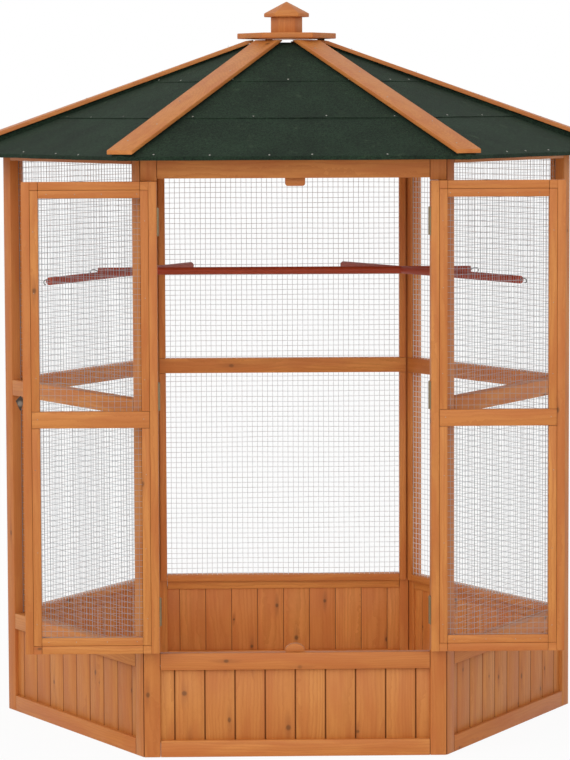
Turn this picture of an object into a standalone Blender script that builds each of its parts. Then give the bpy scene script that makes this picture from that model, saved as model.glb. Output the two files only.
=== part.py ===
"""Six-sided timber aviary on the ground, its two mesh doors folded back against the front.

Metres, +Z up. The origin is on the ground in the middle of the body, and the doorway
faces -Y. Every wall is drawn as the front wall stands and turned into place by an empty.
Each door is drawn shut, about its hinge pins, and its empty turns it open.
"""

import math

import bmesh
import bpy
from mathutils import Matrix, Vector

# Body
SIDE = 0.655              # outer width of one wall, which is also the corner radius
FRAME_T = 0.022           # thickness of every wall and door frame
MEMBER_W = 0.036          # width of the wall stiles and the ordinary wall rails
TOP_RAIL_W = 0.044        # the rail that carries the roof is deeper
WALL_H = 1.322            # height of a wall's outer face
LOWER_RAIL_Z = 0.193      # underside of the rail over the boards
MID_RAIL_Z = 0.737        # underside of the mid rail
BOX_RAIL_Z = 0.190        # underside of the rail under the doorway
HEADER_W = 0.074          # height of the board over the doorway

# Tongued and grooved boards at the foot of each wall
BOARD_PITCH = 0.064
BOARD_T = 0.010
BOARD_RECESS = 0.008      # set back from the face of the frame
SLOT_DEPTH = 0.006        # the boards stand this deep in the frame all round
BOARD_CHAMFER = 0.0025    # each board's edge at a V joint

# Welded wire mesh
MESH_PITCH = 0.0127
WIRES_DRAWN = 2           # one wire in two is drawn here, at its true place
WIRE_R = 0.0006
MESH_LAP = 0.012          # how far the mesh lies over the wall frame
SELVEDGE_W = 0.0016       # outermost wires, as deep as both layers so that they hold all the rest

# Doors
DOOR_GAP = 0.003          # at the hinge side and where the doors meet
DOOR_HEAD_GAP = 0.0055    # over and under a door
DOOR_MEMBER_W = 0.035
DOOR_MID_RAIL_Z = 0.718
REBATE_W = 0.0175         # step round the inner side of a door frame, for its mesh
REBATE_D = 0.008
REBATE_MARGIN = 0.0015    # the mesh stops this far short of the step

# Hinges
PIN_OUT = 0.0032          # pin centre in front of the wall's face
PIN_R = 0.0015
KNUCKLE_R = 0.003
HINGE_H = 0.060
HINGE_PLATE_W = 0.018
HINGE_PLATE_T = 0.001
HINGE_INSET = 0.0865      # end hinges, from the door's end to the hinge's middle
MID_HINGE_Z = 0.783
PIN_FIT = 0.00005
KNUCKLE_CLEAR = 0.0004    # a plate's edge, from the knuckles of the other plate

# Turn button that holds the doors shut
BUTTON_T = 0.003
BUTTON_Z = 0.7755
BUTTON_INSET = 0.012      # its screw, from the door's free edge
BUTTON_SCREW_R = 0.002
BUTTON_HEAD_R = 0.0055
BUTTON_HEAD_T = 0.0022
BUTTON_WASHER_T = 0.0008
BUTTON_HUB_R = 0.0075
BUTTON_REACH = 0.017      # its kite-shaped head reaches this far past the door's edge
BUTTON_RISE = 0.011       # the head's upper corner, over the screw
BUTTON_DROP = 0.024       # the head's lower corner, under the screw
BUTTON_NECK = 0.005       # its narrowest, at the door's edge
BUTTON_ROUND = 0.0016

# Door stops
STOP_W = 0.043
STOP_T = 0.015
STOP_OVER = 0.020         # laid over the rail that carries it
STOP_TOP_DROP = 0.0175    # below the header
STOP_BOTTOM_RISE = 0.0215  # above the rail under the doorway

# Perches
PERCH_R = 0.009
PERCH_Z = 1.0055
PERCH_END_GAP = 0.012     # from a perch's end to the mesh
HOOK_R = 0.001
HOOK_DEPTH = 0.006        # screwed this deep into the perch

# Roof
PITCH = math.radians(23.0)
OVERHANG = 0.0754         # past the wall's face, level
ROOF_BOARD_T = 0.009
VENT_R = 0.080            # the boards stop this far from the middle
FELT_T = 0.0015
COURSE_1 = 0.215          # level depth of the lowest course of felt
COURSE_2 = 0.174
BATTEN_W = 0.062
BATTEN_T = 0.010
BATTEN_TOP_R = 0.090      # a hip batten's upper end, from the middle
BATTEN_SETBACK = 0.005    # its lower end, inside the corner of the eaves

# Finial
PLATE_R = 0.114
PLATE_T = 0.0126
POST_R = 0.035
POST_H = 0.039
CAP_R = 0.052
CAP_RIM_H = 0.0085
CAP_RISE = 0.0275

# Clearances
GAP = 0.0003              # between pieces that touch
SLOT_FIT = 0.0003         # round a board in its slot
CUT_MARGIN = 0.002        # cutters run past the faces they open
LAYER_GAP = 0.0001        # between the two layers of wire
SELVEDGE_MARGIN = 0.0001  # the outermost wires, past the faces of the others

# Worked out from the sizes above
COS30 = math.cos(math.radians(30))
TAN30 = math.tan(math.radians(30))
SLOPE = math.tan(PITCH)
HIP_SLOPE = SLOPE * COS30
APOTHEM = SIDE * COS30
FACE = -APOTHEM                       # outer face of the front wall
BACK = FACE + FRAME_T                 # its inner face
OPEN_W = SIDE - 2 * MEMBER_W          # clear width between two stiles
TOP_RAIL_Z = WALL_H - TOP_RAIL_W
HEADER_Z = WALL_H - HEADER_W
LOWER_RAIL_TOP = LOWER_RAIL_Z + MEMBER_W
BOX_RAIL_TOP = BOX_RAIL_Z + MEMBER_W
DOOR_W = (OPEN_W - 3 * DOOR_GAP) / 2
DOOR_Z0 = BOX_RAIL_TOP + DOOR_HEAD_GAP
DOOR_Z1 = HEADER_Z - DOOR_HEAD_GAP
PIN_X = OPEN_W / 2 - DOOR_GAP / 2
PIN_Y = FACE - PIN_OUT
EAVE = APOTHEM + OVERHANG             # level distance of the roof board's edge
VENT = VENT_R * COS30

WALLS = {
    "front": 0,
    "front_right": 60,
    "rear_right": 120,
    "back": 180,
    "rear_left": 240,
    "front_left": 300,
}
MESH_WALLS = [name for name in WALLS if name != "front"]
HIPS = {
    "right": 0,
    "rear_right": 60,
    "rear_left": 120,
    "left": 180,
    "front_left": 240,
    "front_right": 300,
}
HINGE_MIDDLES = {
    "low": DOOR_Z0 + HINGE_INSET,
    "mid": MID_HINGE_Z,
    "top": DOOR_Z1 - HINGE_INSET,
}
UPRIGHT_Y = GAP + SELVEDGE_MARGIN + WIRE_R          # middles of the two layers of wire, from
LEVEL_Y = UPRIGHT_Y + 2 * WIRE_R + LAYER_GAP        # the surface that the sheet lies on
SHEET_T = LEVEL_Y + WIRE_R + SELVEDGE_MARGIN - GAP

# Each perch runs between two walls. The number is how far along the wall its hook goes
# through, to the right of the wall's middle seen from outside.
PERCHES = {
    "perch_cross": (("rear_left", -0.019), ("rear_right", 0.019)),
    "perch_left": (("front_left", -0.165), ("back", 0.222)),
    "perch_right": (("front_right", 0.125), ("back", -0.141)),
}

FINISHES = {
    "stained_fir": ((0.58, 0.26, 0.09), 0.55, 0.0),
    "stained_fir_boards": ((0.55, 0.24, 0.08), 0.58, 0.0),
    "roof_ply": ((0.50, 0.28, 0.13), 0.65, 0.0),
    "green_felt": ((0.035, 0.055, 0.04), 0.9, 0.0),
    "galvanised_wire": ((0.55, 0.57, 0.58), 0.4, 1.0),
    "zinc_hinge": ((0.62, 0.60, 0.55), 0.35, 1.0),
    "dark_iron": ((0.10, 0.09, 0.08), 0.4, 1.0),
    "red_dowel": ((0.28, 0.06, 0.03), 0.5, 0.0),
}

# Turn a flat outline's X, Y and thickness to Y, Z and X, or to X, Z and -Y
ALONG_X = Matrix(((0, 0, 1, 0), (1, 0, 0, 0), (0, 1, 0, 0), (0, 0, 0, 1)))
FACING_FRONT = Matrix(((1, 0, 0, 0), (0, 0, -1, 0), (0, 1, 0, 0), (0, 0, 0, 1)))


def start_scene():
    """Remove what the scene holds and make the two collections."""
    for item in list(bpy.data.objects):
        bpy.data.objects.remove(item)
    collections = []
    for name in ("aviary", "cutters"):
        collection = bpy.data.collections.new(name)
        bpy.context.scene.collection.children.link(collection)
        collections.append(collection)
    return collections


PARTS, CUTTERS = start_scene()


def empty(name, location=(0, 0, 0), turn=0.0):
    """An empty that places a wall, a door or a hip."""
    item = bpy.data.objects.new(name, None)
    item.location = location
    item.rotation_euler.z = turn
    PARTS.objects.link(item)
    return item


def finish(item, name):
    """Give an object its own material in one of the finishes."""
    colour, roughness, metallic = FINISHES[name]
    material = bpy.data.materials.new(f"{item.name}_{name}")
    material.use_nodes = True
    shader = material.node_tree.nodes["Principled BSDF"]
    shader.inputs["Base Color"].default_value = (*colour, 1)
    shader.inputs["Roughness"].default_value = roughness
    shader.inputs["Metallic"].default_value = metallic
    item.data.materials.append(material)


def tidy(mesh):
    """Weld loose caps and turn the faces outwards."""
    shape = bmesh.new()
    shape.from_mesh(mesh)
    bmesh.ops.remove_doubles(shape, verts=shape.verts, dist=1e-6)
    bmesh.ops.recalc_face_normals(shape, faces=shape.faces)
    shape.to_mesh(mesh)
    shape.free()
    return mesh


def evaluated_mesh(data):
    """Mesh of a curve, or of a mesh object's modifiers, as the viewport shows it."""
    carrier = data
    if not isinstance(data, bpy.types.Object):
        carrier = bpy.data.objects.new("carrier", data)
    bpy.context.scene.collection.objects.link(carrier)
    bpy.context.view_layer.update()
    shown = carrier.evaluated_get(bpy.context.evaluated_depsgraph_get())
    mesh = bpy.data.meshes.new_from_object(shown)
    bpy.data.objects.remove(carrier)
    return tidy(mesh)


def prism(outline, low, high, holes=(), turn=None):
    """Mesh of a flat outline in X and Y, thick from low to high, turned if asked."""
    curve = bpy.data.curves.new("outline", "CURVE")
    curve.dimensions = "2D"
    curve.fill_mode = "BOTH"
    curve.extrude = (high - low) / 2
    for loop in (outline, *holes):
        spline = curve.splines.new("POLY")
        spline.points.add(len(loop) - 1)
        for point, (x, y) in zip(spline.points, loop):
            point.co = (x, y, 0, 1)
        spline.use_cyclic_u = True
    mesh = evaluated_mesh(curve)
    mesh.transform(Matrix.Translation((0, 0, (low + high) / 2)))
    if turn is not None:
        mesh.transform(turn)
    return mesh


def block(low, high):
    """Mesh of a box between two corners."""
    outline = [(low[0], low[1]), (high[0], low[1]), (high[0], high[1]), (low[0], high[1])]
    return prism(outline, low[2], high[2])


def circle(radius, sides, centre=(0.0, 0.0)):
    """Points of a circle, anticlockwise."""
    turns = [2 * math.pi * step / sides for step in range(sides)]
    return [(centre[0] + radius * math.cos(a), centre[1] + radius * math.sin(a)) for a in turns]


def arc(centre, radius, start, stop, steps):
    """Points of an arc between two angles in degrees, ends included."""
    points = []
    for step in range(steps + 1):
        angle = math.radians(start + (stop - start) * step / steps)
        points.append((centre[0] + radius * math.cos(angle), centre[1] + radius * math.sin(angle)))
    return points


def turned(profile, sides):
    """Mesh turned about Z from a profile of radius and height that starts at its top."""
    mesh = bpy.data.meshes.new("profile")
    edges = [(step, step + 1) for step in range(len(profile) - 1)]
    mesh.from_pydata([(radius, 0, height) for radius, height in profile], edges, [])
    item = bpy.data.objects.new("turning", mesh)
    screw = item.modifiers.new("turn", "SCREW")
    screw.steps = sides
    screw.render_steps = sides
    screw.use_merge_vertices = True
    screw.merge_threshold = 0.00001
    return evaluated_mesh(item)


def piece(name, meshes, finish_name, parent=None, location=(0, 0, 0)):
    """One named object from the meshes of its solids."""
    shape = bmesh.new()
    for mesh in meshes:
        shape.from_mesh(mesh)
        bpy.data.meshes.remove(mesh)
    joined = bpy.data.meshes.new(name)
    shape.to_mesh(joined)
    shape.free()
    item = bpy.data.objects.new(name, joined)
    item.location = location
    item.parent = parent
    PARTS.objects.link(item)
    finish(item, finish_name)
    return item


def helper(name, meshes, parent=None, location=(0, 0, 0), turn=0.0):
    """A shape that only cuts or joins another, kept out of the model."""
    shape = bmesh.new()
    for mesh in meshes:
        shape.from_mesh(mesh)
        bpy.data.meshes.remove(mesh)
    joined = bpy.data.meshes.new(name)
    shape.to_mesh(joined)
    shape.free()
    item = bpy.data.objects.new(name, joined)
    item.location = location
    item.rotation_euler.z = turn
    item.parent = parent
    item.hide_render = True
    item.display_type = "WIRE"
    CUTTERS.objects.link(item)
    return item


def combine(item, operand, operation):
    """Cut an object with a helper, or join the helper to it."""
    boolean = item.modifiers.new(operation.lower(), "BOOLEAN")
    boolean.operation = operation
    boolean.solver = "EXACT"
    boolean.object = operand


def wire_mesh(runs, radius, resolution):
    """Mesh of round wires, each along its own list of points."""
    curve = bpy.data.curves.new("wire", "CURVE")
    curve.dimensions = "3D"
    curve.bevel_depth = radius
    curve.bevel_resolution = resolution
    curve.use_fill_caps = True
    for run in runs:
        spline = curve.splines.new("POLY")
        spline.points.add(len(run) - 1)
        for point, place in zip(spline.points, run):
            point.co = (*place, 1)
    return evaluated_mesh(curve)


def rectangle(half, low, high):
    """Outline of a rectangle about the middle of a wall."""
    return [(-half, low), (half, low), (half, high), (-half, high)]


def wall_frame(windows):
    """A wall's stiles and rails, mitred to the next walls and cut to the roof's pitch."""
    corner = SIDE / 2 - GAP / 2
    outline = rectangle(corner, 0, WALL_H)
    holes = [rectangle(OPEN_W / 2, low, high) for low, high in windows]
    mesh = prism(outline, -BACK, -FACE, holes, FACING_FRONT)
    for vertex in mesh.vertices:
        inward = vertex.co.y - FACE
        if abs(vertex.co.x) > (OPEN_W / 2 + corner) / 2:
            vertex.co.x -= math.copysign(inward * TAN30, vertex.co.x)
        if vertex.co.z > WALL_H - TOP_RAIL_W / 2:
            vertex.co.z += inward * SLOPE
    return mesh


def board_slot(name, rail_z, parent):
    """Cutter for the slot that holds the boards, in both stiles and both rails."""
    reach = OPEN_W / 2 + SLOT_DEPTH
    front = FACE + BOARD_RECESS - SLOT_FIT
    low = (-reach, front, MEMBER_W - SLOT_DEPTH)
    high = (reach, front + BOARD_T + 2 * SLOT_FIT, rail_z + SLOT_DEPTH)
    return helper(f"{name}_board_slot", [block(low, high)], parent)


def boards(rail_z):
    """A wall's boards, whole ones in the middle and a cut one at each end, with V joints."""
    front = FACE + BOARD_RECESS
    joints = int(OPEN_W / BOARD_PITCH + 1e-6)
    end = OPEN_W / 2 + SLOT_DEPTH - SLOT_FIT
    section = [(end, front + BOARD_T), (-end, front + BOARD_T), (-end, front)]
    for step in range(joints):
        x = (step - (joints - 1) / 2) * BOARD_PITCH
        section += [(x - BOARD_CHAMFER, front), (x, front + BOARD_CHAMFER), (x + BOARD_CHAMFER, front)]
    section += [(end, front)]
    low = MEMBER_W - SLOT_DEPTH + SLOT_FIT
    return prism(section, low, rail_z + SLOT_DEPTH - SLOT_FIT)


def even_intervals(length):
    """How many mesh pitches fit in a length, kept even so a wire runs down the middle."""
    return 2 * int(length / (2 * MESH_PITCH) + 1e-6)


def wire_places(length):
    """Places of the drawn wires across a length, about its middle, short of its ends."""
    side = even_intervals(length) // 2
    most = (side * MESH_PITCH - SELVEDGE_W) / (WIRES_DRAWN * MESH_PITCH)
    return [step * WIRES_DRAWN * MESH_PITCH for step in range(-int(most), int(most) + 1)]


def mesh_sheet(name, left, right, low, high, surface, parent):
    """Welded mesh: upright wires on a surface that faces +Y, level wires behind them."""
    middle_x = (left + right) / 2
    middle_z = (low + high) / 2
    half_x = (right - left) / 2
    half_z = (high - low) / 2
    inset = SELVEDGE_W / 2
    face = surface + GAP
    outline = rectangle(half_x, -half_z, half_z)
    hole = rectangle(half_x - SELVEDGE_W, SELVEDGE_W - half_z, half_z - SELVEDGE_W)
    edge = prism(outline, -face - SHEET_T, -face, [hole], FACING_FRONT)
    uprights = []
    for x in wire_places(right - left):
        uprights.append([(x, surface + UPRIGHT_Y, inset - half_z), (x, surface + UPRIGHT_Y, half_z - inset)])
    levels = []
    for z in wire_places(high - low):
        levels.append([(inset - half_x, surface + LEVEL_Y, z), (half_x - inset, surface + LEVEL_Y, z)])
    place = (middle_x, 0, middle_z)
    sheet = piece(name, [edge], "galvanised_wire", parent, place)
    strands = helper(f"{name}_strands", [wire_mesh(uprights + levels, WIRE_R, 0)], parent, place)
    combine(sheet, strands, "UNION")


MESH_LOW = LOWER_RAIL_TOP - MESH_LAP
MESH_HIGH = TOP_RAIL_Z + MESH_LAP
MESH_HALF = OPEN_W / 2 + MESH_LAP


def mesh_wall(name, place):
    """A wall of framed mesh over a foot of boards."""
    windows = [
        (MEMBER_W, LOWER_RAIL_Z),
        (LOWER_RAIL_TOP, MID_RAIL_Z),
        (MID_RAIL_Z + MEMBER_W, TOP_RAIL_Z),
    ]
    frame = piece(f"{name}_frame", [wall_frame(windows)], "stained_fir", place)
    combine(frame, board_slot(name, LOWER_RAIL_Z, place), "DIFFERENCE")
    piece(f"{name}_boards", [boards(LOWER_RAIL_Z)], "stained_fir_boards", place)
    mesh_sheet(f"{name}_mesh", -MESH_HALF, MESH_HALF, MESH_LOW, MESH_HIGH, BACK, place)


def front_wall(place):
    """The wall with the doorway, over a foot of boards."""
    windows = [(MEMBER_W, BOX_RAIL_Z), (BOX_RAIL_TOP, HEADER_Z)]
    frame = piece("front_frame", [wall_frame(windows)], "stained_fir", place)
    combine(frame, board_slot("front", BOX_RAIL_Z, place), "DIFFERENCE")
    piece("front_boards", [boards(BOX_RAIL_Z)], "stained_fir_boards", place)


def door_stops(place):
    """Blocks behind the header and the lower rail, in the middle, that the doors shut on."""
    front = -(BACK + GAP)
    half = STOP_W / 2
    round_r = STOP_W / 4
    low = HEADER_Z - STOP_TOP_DROP
    top = [(half, HEADER_Z + STOP_OVER), (-half, HEADER_Z + STOP_OVER)]
    top += arc((round_r - half, low + round_r), round_r, 180, 270, 4)
    top += arc((half - round_r, low + round_r), round_r, 270, 360, 4)
    bottom = [(-half, BOX_RAIL_TOP - STOP_OVER), (half, BOX_RAIL_TOP - STOP_OVER)]
    bottom += [(x, BOX_RAIL_TOP + y * STOP_BOTTOM_RISE / half) for x, y in arc((0, 0), half, 0, 180, 12)]
    for name, outline in (("door_stop_top", top), ("door_stop_bottom", bottom)):
        mesh = prism(outline, front - STOP_T, front, turn=FACING_FRONT)
        piece(name, [mesh], "stained_fir", place)


def hinge_plate(side, own):
    """A hinge's plate beside its pin, cut back at the knuckles that the other plate holds."""
    clear = KNUCKLE_R + KNUCKLE_CLEAR
    root = (PIN_R + KNUCKLE_R) / 2
    half = HINGE_H / 2
    near = side * (DOOR_GAP / 2 - GAP)
    far = near - side * HINGE_PLATE_T
    outline = [(HINGE_PLATE_W, -half), (HINGE_PLATE_W, half), (clear, half)]
    for low, high in reversed(own):
        outline += [(clear, high - GAP), (root, high - GAP), (root, low + GAP), (clear, low + GAP)]
    outline += [(clear, -half)]
    return prism(outline, min(near, far), max(near, far), turn=ALONG_X)


def hinge(name, hand, middle, pins, pivot):
    """A butt hinge: the post's plate holds the pin, and the door's plate turns on it."""
    half = HINGE_H / 2
    step = HINGE_H / 6 - GAP / 2
    high = (step + GAP, half)
    low = (-half, -step - GAP)
    profile = [(0, half), (KNUCKLE_R, half), (KNUCKLE_R, high[0]), (PIN_R, high[0])]
    profile += [(PIN_R, low[1]), (KNUCKLE_R, low[1]), (KNUCKLE_R, -half), (0, -half)]
    place = Vector((pins.x, pins.y, middle))
    post = piece(f"{name}_post_leaf", [hinge_plate(-hand, [low, high])], "zinc_hinge", None, place)
    combine(post, helper(f"{name}_pin", [turned(profile, 12)], None, place), "UNION")
    bore = (PIN_R + PIN_FIT) / math.cos(math.pi / 12)
    tube = prism(circle(KNUCKLE_R, 12), -step, step, [circle(bore, 12)])
    place = Vector((0, 0, middle))
    leaf = piece(f"{name}_door_leaf", [hinge_plate(hand, [(-step, step)])], "zinc_hinge", pivot, place)
    combine(leaf, helper(f"{name}_knuckle", [tube], pivot, place), "UNION")


def door(name, hand):
    """A door, its hinges and its mesh, which passes under a strip on the mid rail.

    The left door has hand 1 and lies to +X of its pins.
    """
    pins = Vector((-hand * PIN_X, PIN_Y, 0))
    pivot = empty(f"{name}_pivot", pins, -hand * math.pi)
    near = DOOR_GAP / 2
    middle = hand * (near + DOOR_W / 2)
    half = DOOR_W / 2
    inner = half - DOOR_MEMBER_W
    back = PIN_OUT + FRAME_T
    low = DOOR_Z0 + DOOR_MEMBER_W
    high = DOOR_Z1 - DOOR_MEMBER_W
    holes = [
        rectangle(inner, low, DOOR_MID_RAIL_Z),
        rectangle(inner, DOOR_MID_RAIL_Z + DOOR_MEMBER_W, high),
    ]
    outline = rectangle(half, DOOR_Z0, DOOR_Z1)
    mesh = prism(outline, -back, -PIN_OUT, holes, FACING_FRONT)
    frame = piece(f"{name}_frame", [mesh], "stained_fir", pivot, (middle, 0, 0))
    step = inner + REBATE_W
    floor = back - REBATE_D
    strip = floor + SHEET_T + 2 * GAP
    over = back + CUT_MARGIN
    foot = low - REBATE_W
    head = high + REBATE_W
    rail_top = DOOR_MID_RAIL_Z + DOOR_MEMBER_W
    section = [(floor, foot), (over, foot), (over, DOOR_MID_RAIL_Z), (strip, DOOR_MID_RAIL_Z)]
    section += [(strip, rail_top), (over, rail_top), (over, head), (floor, head)]
    cut = prism(section, -step, step, turn=ALONG_X)
    combine(frame, helper(f"{name}_rebate", [cut], pivot, (middle, 0, 0)), "DIFFERENCE")
    reach = step - REBATE_MARGIN
    mesh_low = foot + REBATE_MARGIN
    mesh_high = head - REBATE_MARGIN
    mesh_sheet(f"{name}_mesh", middle - reach, middle + reach, mesh_low, mesh_high, floor, pivot)
    for label, height in HINGE_MIDDLES.items():
        hinge(f"{name}_{label}_hinge", hand, height, pins, pivot)
    return pivot, near + DOOR_W


def rounded(corners, radius, steps=3):
    """Outline with each corner rounded, from anticlockwise corners."""
    outline = []
    count = len(corners)
    for index in range(count):
        here = Vector(corners[index])
        before = (Vector(corners[index - 1]) - here).normalized()
        after = (Vector(corners[(index + 1) % count]) - here).normalized()
        half = before.angle(after) / 2
        centre = here + (before + after).normalized() * (radius / math.sin(half))
        start = here + before * (radius / math.tan(half)) - centre
        stop = here + after * (radius / math.tan(half)) - centre
        sweep = start.angle_signed(stop)
        for step in range(steps + 1):
            spoke = start.copy()
            spoke.rotate(Matrix.Rotation(-sweep * step / steps, 2))
            outline.append(tuple(centre + spoke))
    return outline


def turn_button(pivot, free_edge):
    """Cast button on a screw near the left door's free edge, with a kite-shaped head past it."""
    place = (free_edge - BUTTON_INSET, PIN_OUT, BUTTON_Z)
    seat = GAP + BUTTON_WASHER_T
    back = seat + GAP
    tip = BUTTON_INSET + BUTTON_REACH
    middle = BUTTON_INSET + BUTTON_REACH * 0.4
    neck = BUTTON_NECK / 2
    kite = [(BUTTON_INSET, neck), (BUTTON_INSET, -neck), (middle, -BUTTON_DROP), (tip, 0), (middle, BUTTON_RISE)]
    head = prism(rounded(kite, BUTTON_ROUND), back, back + BUTTON_T, turn=FACING_FRONT)
    hole = circle((BUTTON_SCREW_R + PIN_FIT) / math.cos(math.pi / 16), 16)
    inset = CUT_MARGIN / 8
    hub = prism(circle(BUTTON_HUB_R, 20), back - inset, back + BUTTON_T - inset, [hole], FACING_FRONT)
    bar = block((BUTTON_HUB_R * 0.8, -back - BUTTON_T + inset, -neck), (middle, -back - inset, neck))
    button = piece("turn_button", [head], "dark_iron", pivot, place)
    combine(button, helper("turn_button_hub", [hub], pivot, place), "UNION")
    combine(button, helper("turn_button_neck", [bar], pivot, place), "UNION")
    under_head = back + BUTTON_T + GAP
    crown = [(BUTTON_HEAD_R * math.sin(a), under_head + BUTTON_HEAD_T * math.cos(a))
             for a in (math.pi / 2 * step / 4 for step in range(5))]
    profile = crown + [(BUTTON_SCREW_R, under_head), (BUTTON_SCREW_R, seat)]
    profile += [(BUTTON_HUB_R, seat), (BUTTON_HUB_R, GAP), (0, GAP)]
    screw = turned(profile, 16)
    screw.transform(FACING_FRONT)
    piece("turn_button_screw", [screw], "dark_iron", pivot, place)


def cell_middle(value):
    """Nearest middle of a cell of the mesh, counted from a wire at zero."""
    return (math.floor(value / MESH_PITCH) + 0.5) * MESH_PITCH


def wall_point(wall, along, inward):
    """World point on a wall: along it, and inward from its inner face."""
    turn = Matrix.Rotation(math.radians(WALLS[wall]), 3, "Z")
    return turn @ Vector((along, BACK + inward, 0))


def wall_normal(wall):
    """The way a wall faces, outwards."""
    return Matrix.Rotation(math.radians(WALLS[wall]), 3, "Z") @ Vector((0, -1, 0))


def perch_ends(name):
    """Where a perch's hooks cross the mesh, at the perch's own height."""
    points = []
    for wall, along in PERCHES[name]:
        point = wall_point(wall, cell_middle(along), LEVEL_Y)
        point.z = PERCH_Z
        points.append(point)
    return points


def perch_frame(name):
    """A perch's middle, its direction in plan and its length."""
    start, stop = perch_ends(name)
    line = stop - start
    return (start + stop) / 2, math.atan2(line.y, line.x), line.length - 2 * PERCH_END_GAP


def perch_cutter(name, crossing, upward):
    """Cutter along a crossing perch that takes the upper or the lower half away."""
    middle, turn, length = perch_frame(crossing)
    width = PERCH_R + GAP
    low, high = (-GAP / 2, 2 * PERCH_R) if upward else (-2 * PERCH_R, GAP / 2)
    shape = block((-length / 2, -width, low), (length / 2, width, high))
    return helper(f"{name}_notch_{crossing}", [shape], None, middle, turn)


def hook_seat():
    """Height of a hook where it lies on the level wire nearest to the perches."""
    middle = (MESH_LOW + MESH_HIGH) / 2
    rows = [middle + z for z in wire_places(MESH_HIGH - MESH_LOW)]
    return min(rows, key=lambda z: abs(z - PERCH_Z)) + WIRE_R + GAP + HOOK_R


def hook_run(through, inward, outward):
    """Points of one hook, from inside the perch, over a wire of the mesh and down."""
    seat = hook_seat()
    end = through + inward * PERCH_END_GAP
    run = [end + inward * HOOK_DEPTH, end - inward * 0.002]
    for inside in (0.005, 0.0025):
        run.append(through + inward * inside + Vector((0, 0, (seat - PERCH_Z) * (1 - inside / 0.01))))
    run.append(Vector((through.x, through.y, seat)))
    for out, down in ((0.004, 0.0002), (0.0068, 0.0018), (0.008, 0.005), (0.0075, 0.0085), (0.0055, 0.011)):
        run.append(Vector((through.x, through.y, seat - down)) + outward * out)
    return run


def perches():
    """Three round perches hooked into the mesh, halved over each other where they cross."""
    for name, walls in PERCHES.items():
        middle, turn, length = perch_frame(name)
        dowel = prism(circle(PERCH_R, 20), -length / 2, length / 2, turn=ALONG_X)
        item = piece(name, [dowel], "red_dowel", None, middle)
        item.rotation_euler.z = turn
        crossings = ["perch_cross"] if name != "perch_cross" else ["perch_left", "perch_right"]
        for other in crossings:
            combine(item, perch_cutter(name, other, name != "perch_cross"), "DIFFERENCE")
        start, stop = perch_ends(name)
        along = (stop - start).normalized()
        runs = [
            hook_run(start, along, wall_normal(walls[0][0])),
            hook_run(stop, -along, wall_normal(walls[1][0])),
        ]
        combine(item, helper(f"{name}_hooks", [wire_mesh(runs, HOOK_R, 1)]), "UNION")


def under_roof(level):
    """Height of the roof boards' underside at a level distance from the middle."""
    return WALL_H + GAP + (APOTHEM - level) * SLOPE


def over_boards(level):
    """Height of the roof boards' upper face."""
    return under_roof(level) + ROOF_BOARD_T / math.cos(PITCH)


def roof_slice(section, clearance):
    """Solid between two hips from its section of level distance and height."""
    mesh = prism(section, -1, 1, turn=ALONG_X)
    for vertex in mesh.vertices:
        half = vertex.co.y * TAN30 - clearance / COS30
        vertex.co.x = math.copysign(half, vertex.co.x)
        vertex.co.y = -vertex.co.y
    return tidy(mesh)


def felt_section():
    """Section of a side's felt: three courses, each lapped over the one below it."""
    edge = EAVE + GAP
    lip = edge + FELT_T
    under = GAP
    section = [(lip, under_roof(EAVE)), (edge, under_roof(EAVE)), (edge, over_boards(edge) + under)]
    section += [(VENT, over_boards(VENT) + under), (VENT, over_boards(VENT) + under + FELT_T)]
    for seam in (EAVE - COURSE_1 - COURSE_2, EAVE - COURSE_1):
        section.append((seam, over_boards(seam) + under + 2 * FELT_T))
        section.append((seam, over_boards(seam) + under + FELT_T))
    section.append((lip, over_boards(lip) + under + FELT_T))
    return section


def felt_rise():
    """How far the highest edge of the felt stands over the boards."""
    return GAP + 2 * FELT_T


def roof(places):
    """Six sloping sides of board and felt."""
    for name, place in places.items():
        board_section = [
            (EAVE, under_roof(EAVE)),
            (VENT, under_roof(VENT)),
            (VENT, over_boards(VENT)),
            (EAVE, over_boards(EAVE)),
        ]
        piece(f"roof_board_{name}", [roof_slice(board_section, GAP / 2)], "roof_ply", place)
        piece(f"roof_felt_{name}", [roof_slice(felt_section(), GAP / 2)], "green_felt", place)


def batten_top(reach):
    """Height of a hip batten's upper face at a level distance along the hip."""
    ridge = over_boards(reach * COS30) + felt_rise() + GAP
    return ridge + BATTEN_T / math.cos(math.atan(HIP_SLOPE))


def hip_batten(name, turn):
    """A batten along a hip, its underside cut to the two roof faces it joins."""
    half = BATTEN_W / 2
    start = BATTEN_TOP_R
    stop = EAVE / COS30 - BATTEN_SETBACK
    section = [(-half, 0), (0, 0), (half, 0), (half, 1), (-half, 1)]
    mesh = prism(section, start, stop, turn=ALONG_X)
    for vertex in mesh.vertices:
        reach, across, upper = vertex.co
        if upper > 0.5:
            vertex.co.z = batten_top(reach)
        else:
            level = reach * COS30 + abs(across) / 2
            vertex.co.z = over_boards(level) + felt_rise() + GAP
    place = empty(f"hip_{name}", turn=math.radians(turn))
    piece(f"hip_batten_{name}", [tidy(mesh)], "stained_fir", place)


def finial():
    """Six-sided plate on the battens' upper ends, and a knob of post and pointed cap."""
    plate_low = batten_top(BATTEN_TOP_R) + GAP
    post_low = plate_low + PLATE_T + GAP
    cap_low = post_low + POST_H
    rim = cap_low + CAP_RIM_H
    piece("finial_plate", [prism(circle(PLATE_R, 6), plate_low, plate_low + PLATE_T)], "stained_fir")
    profile = [(0, rim + CAP_RISE), (CAP_R, rim), (CAP_R, cap_low)]
    profile += [(POST_R, cap_low), (POST_R, post_low), (0, post_low)]
    piece("finial_knob", [turned(profile, 6)], "stained_fir")


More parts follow.
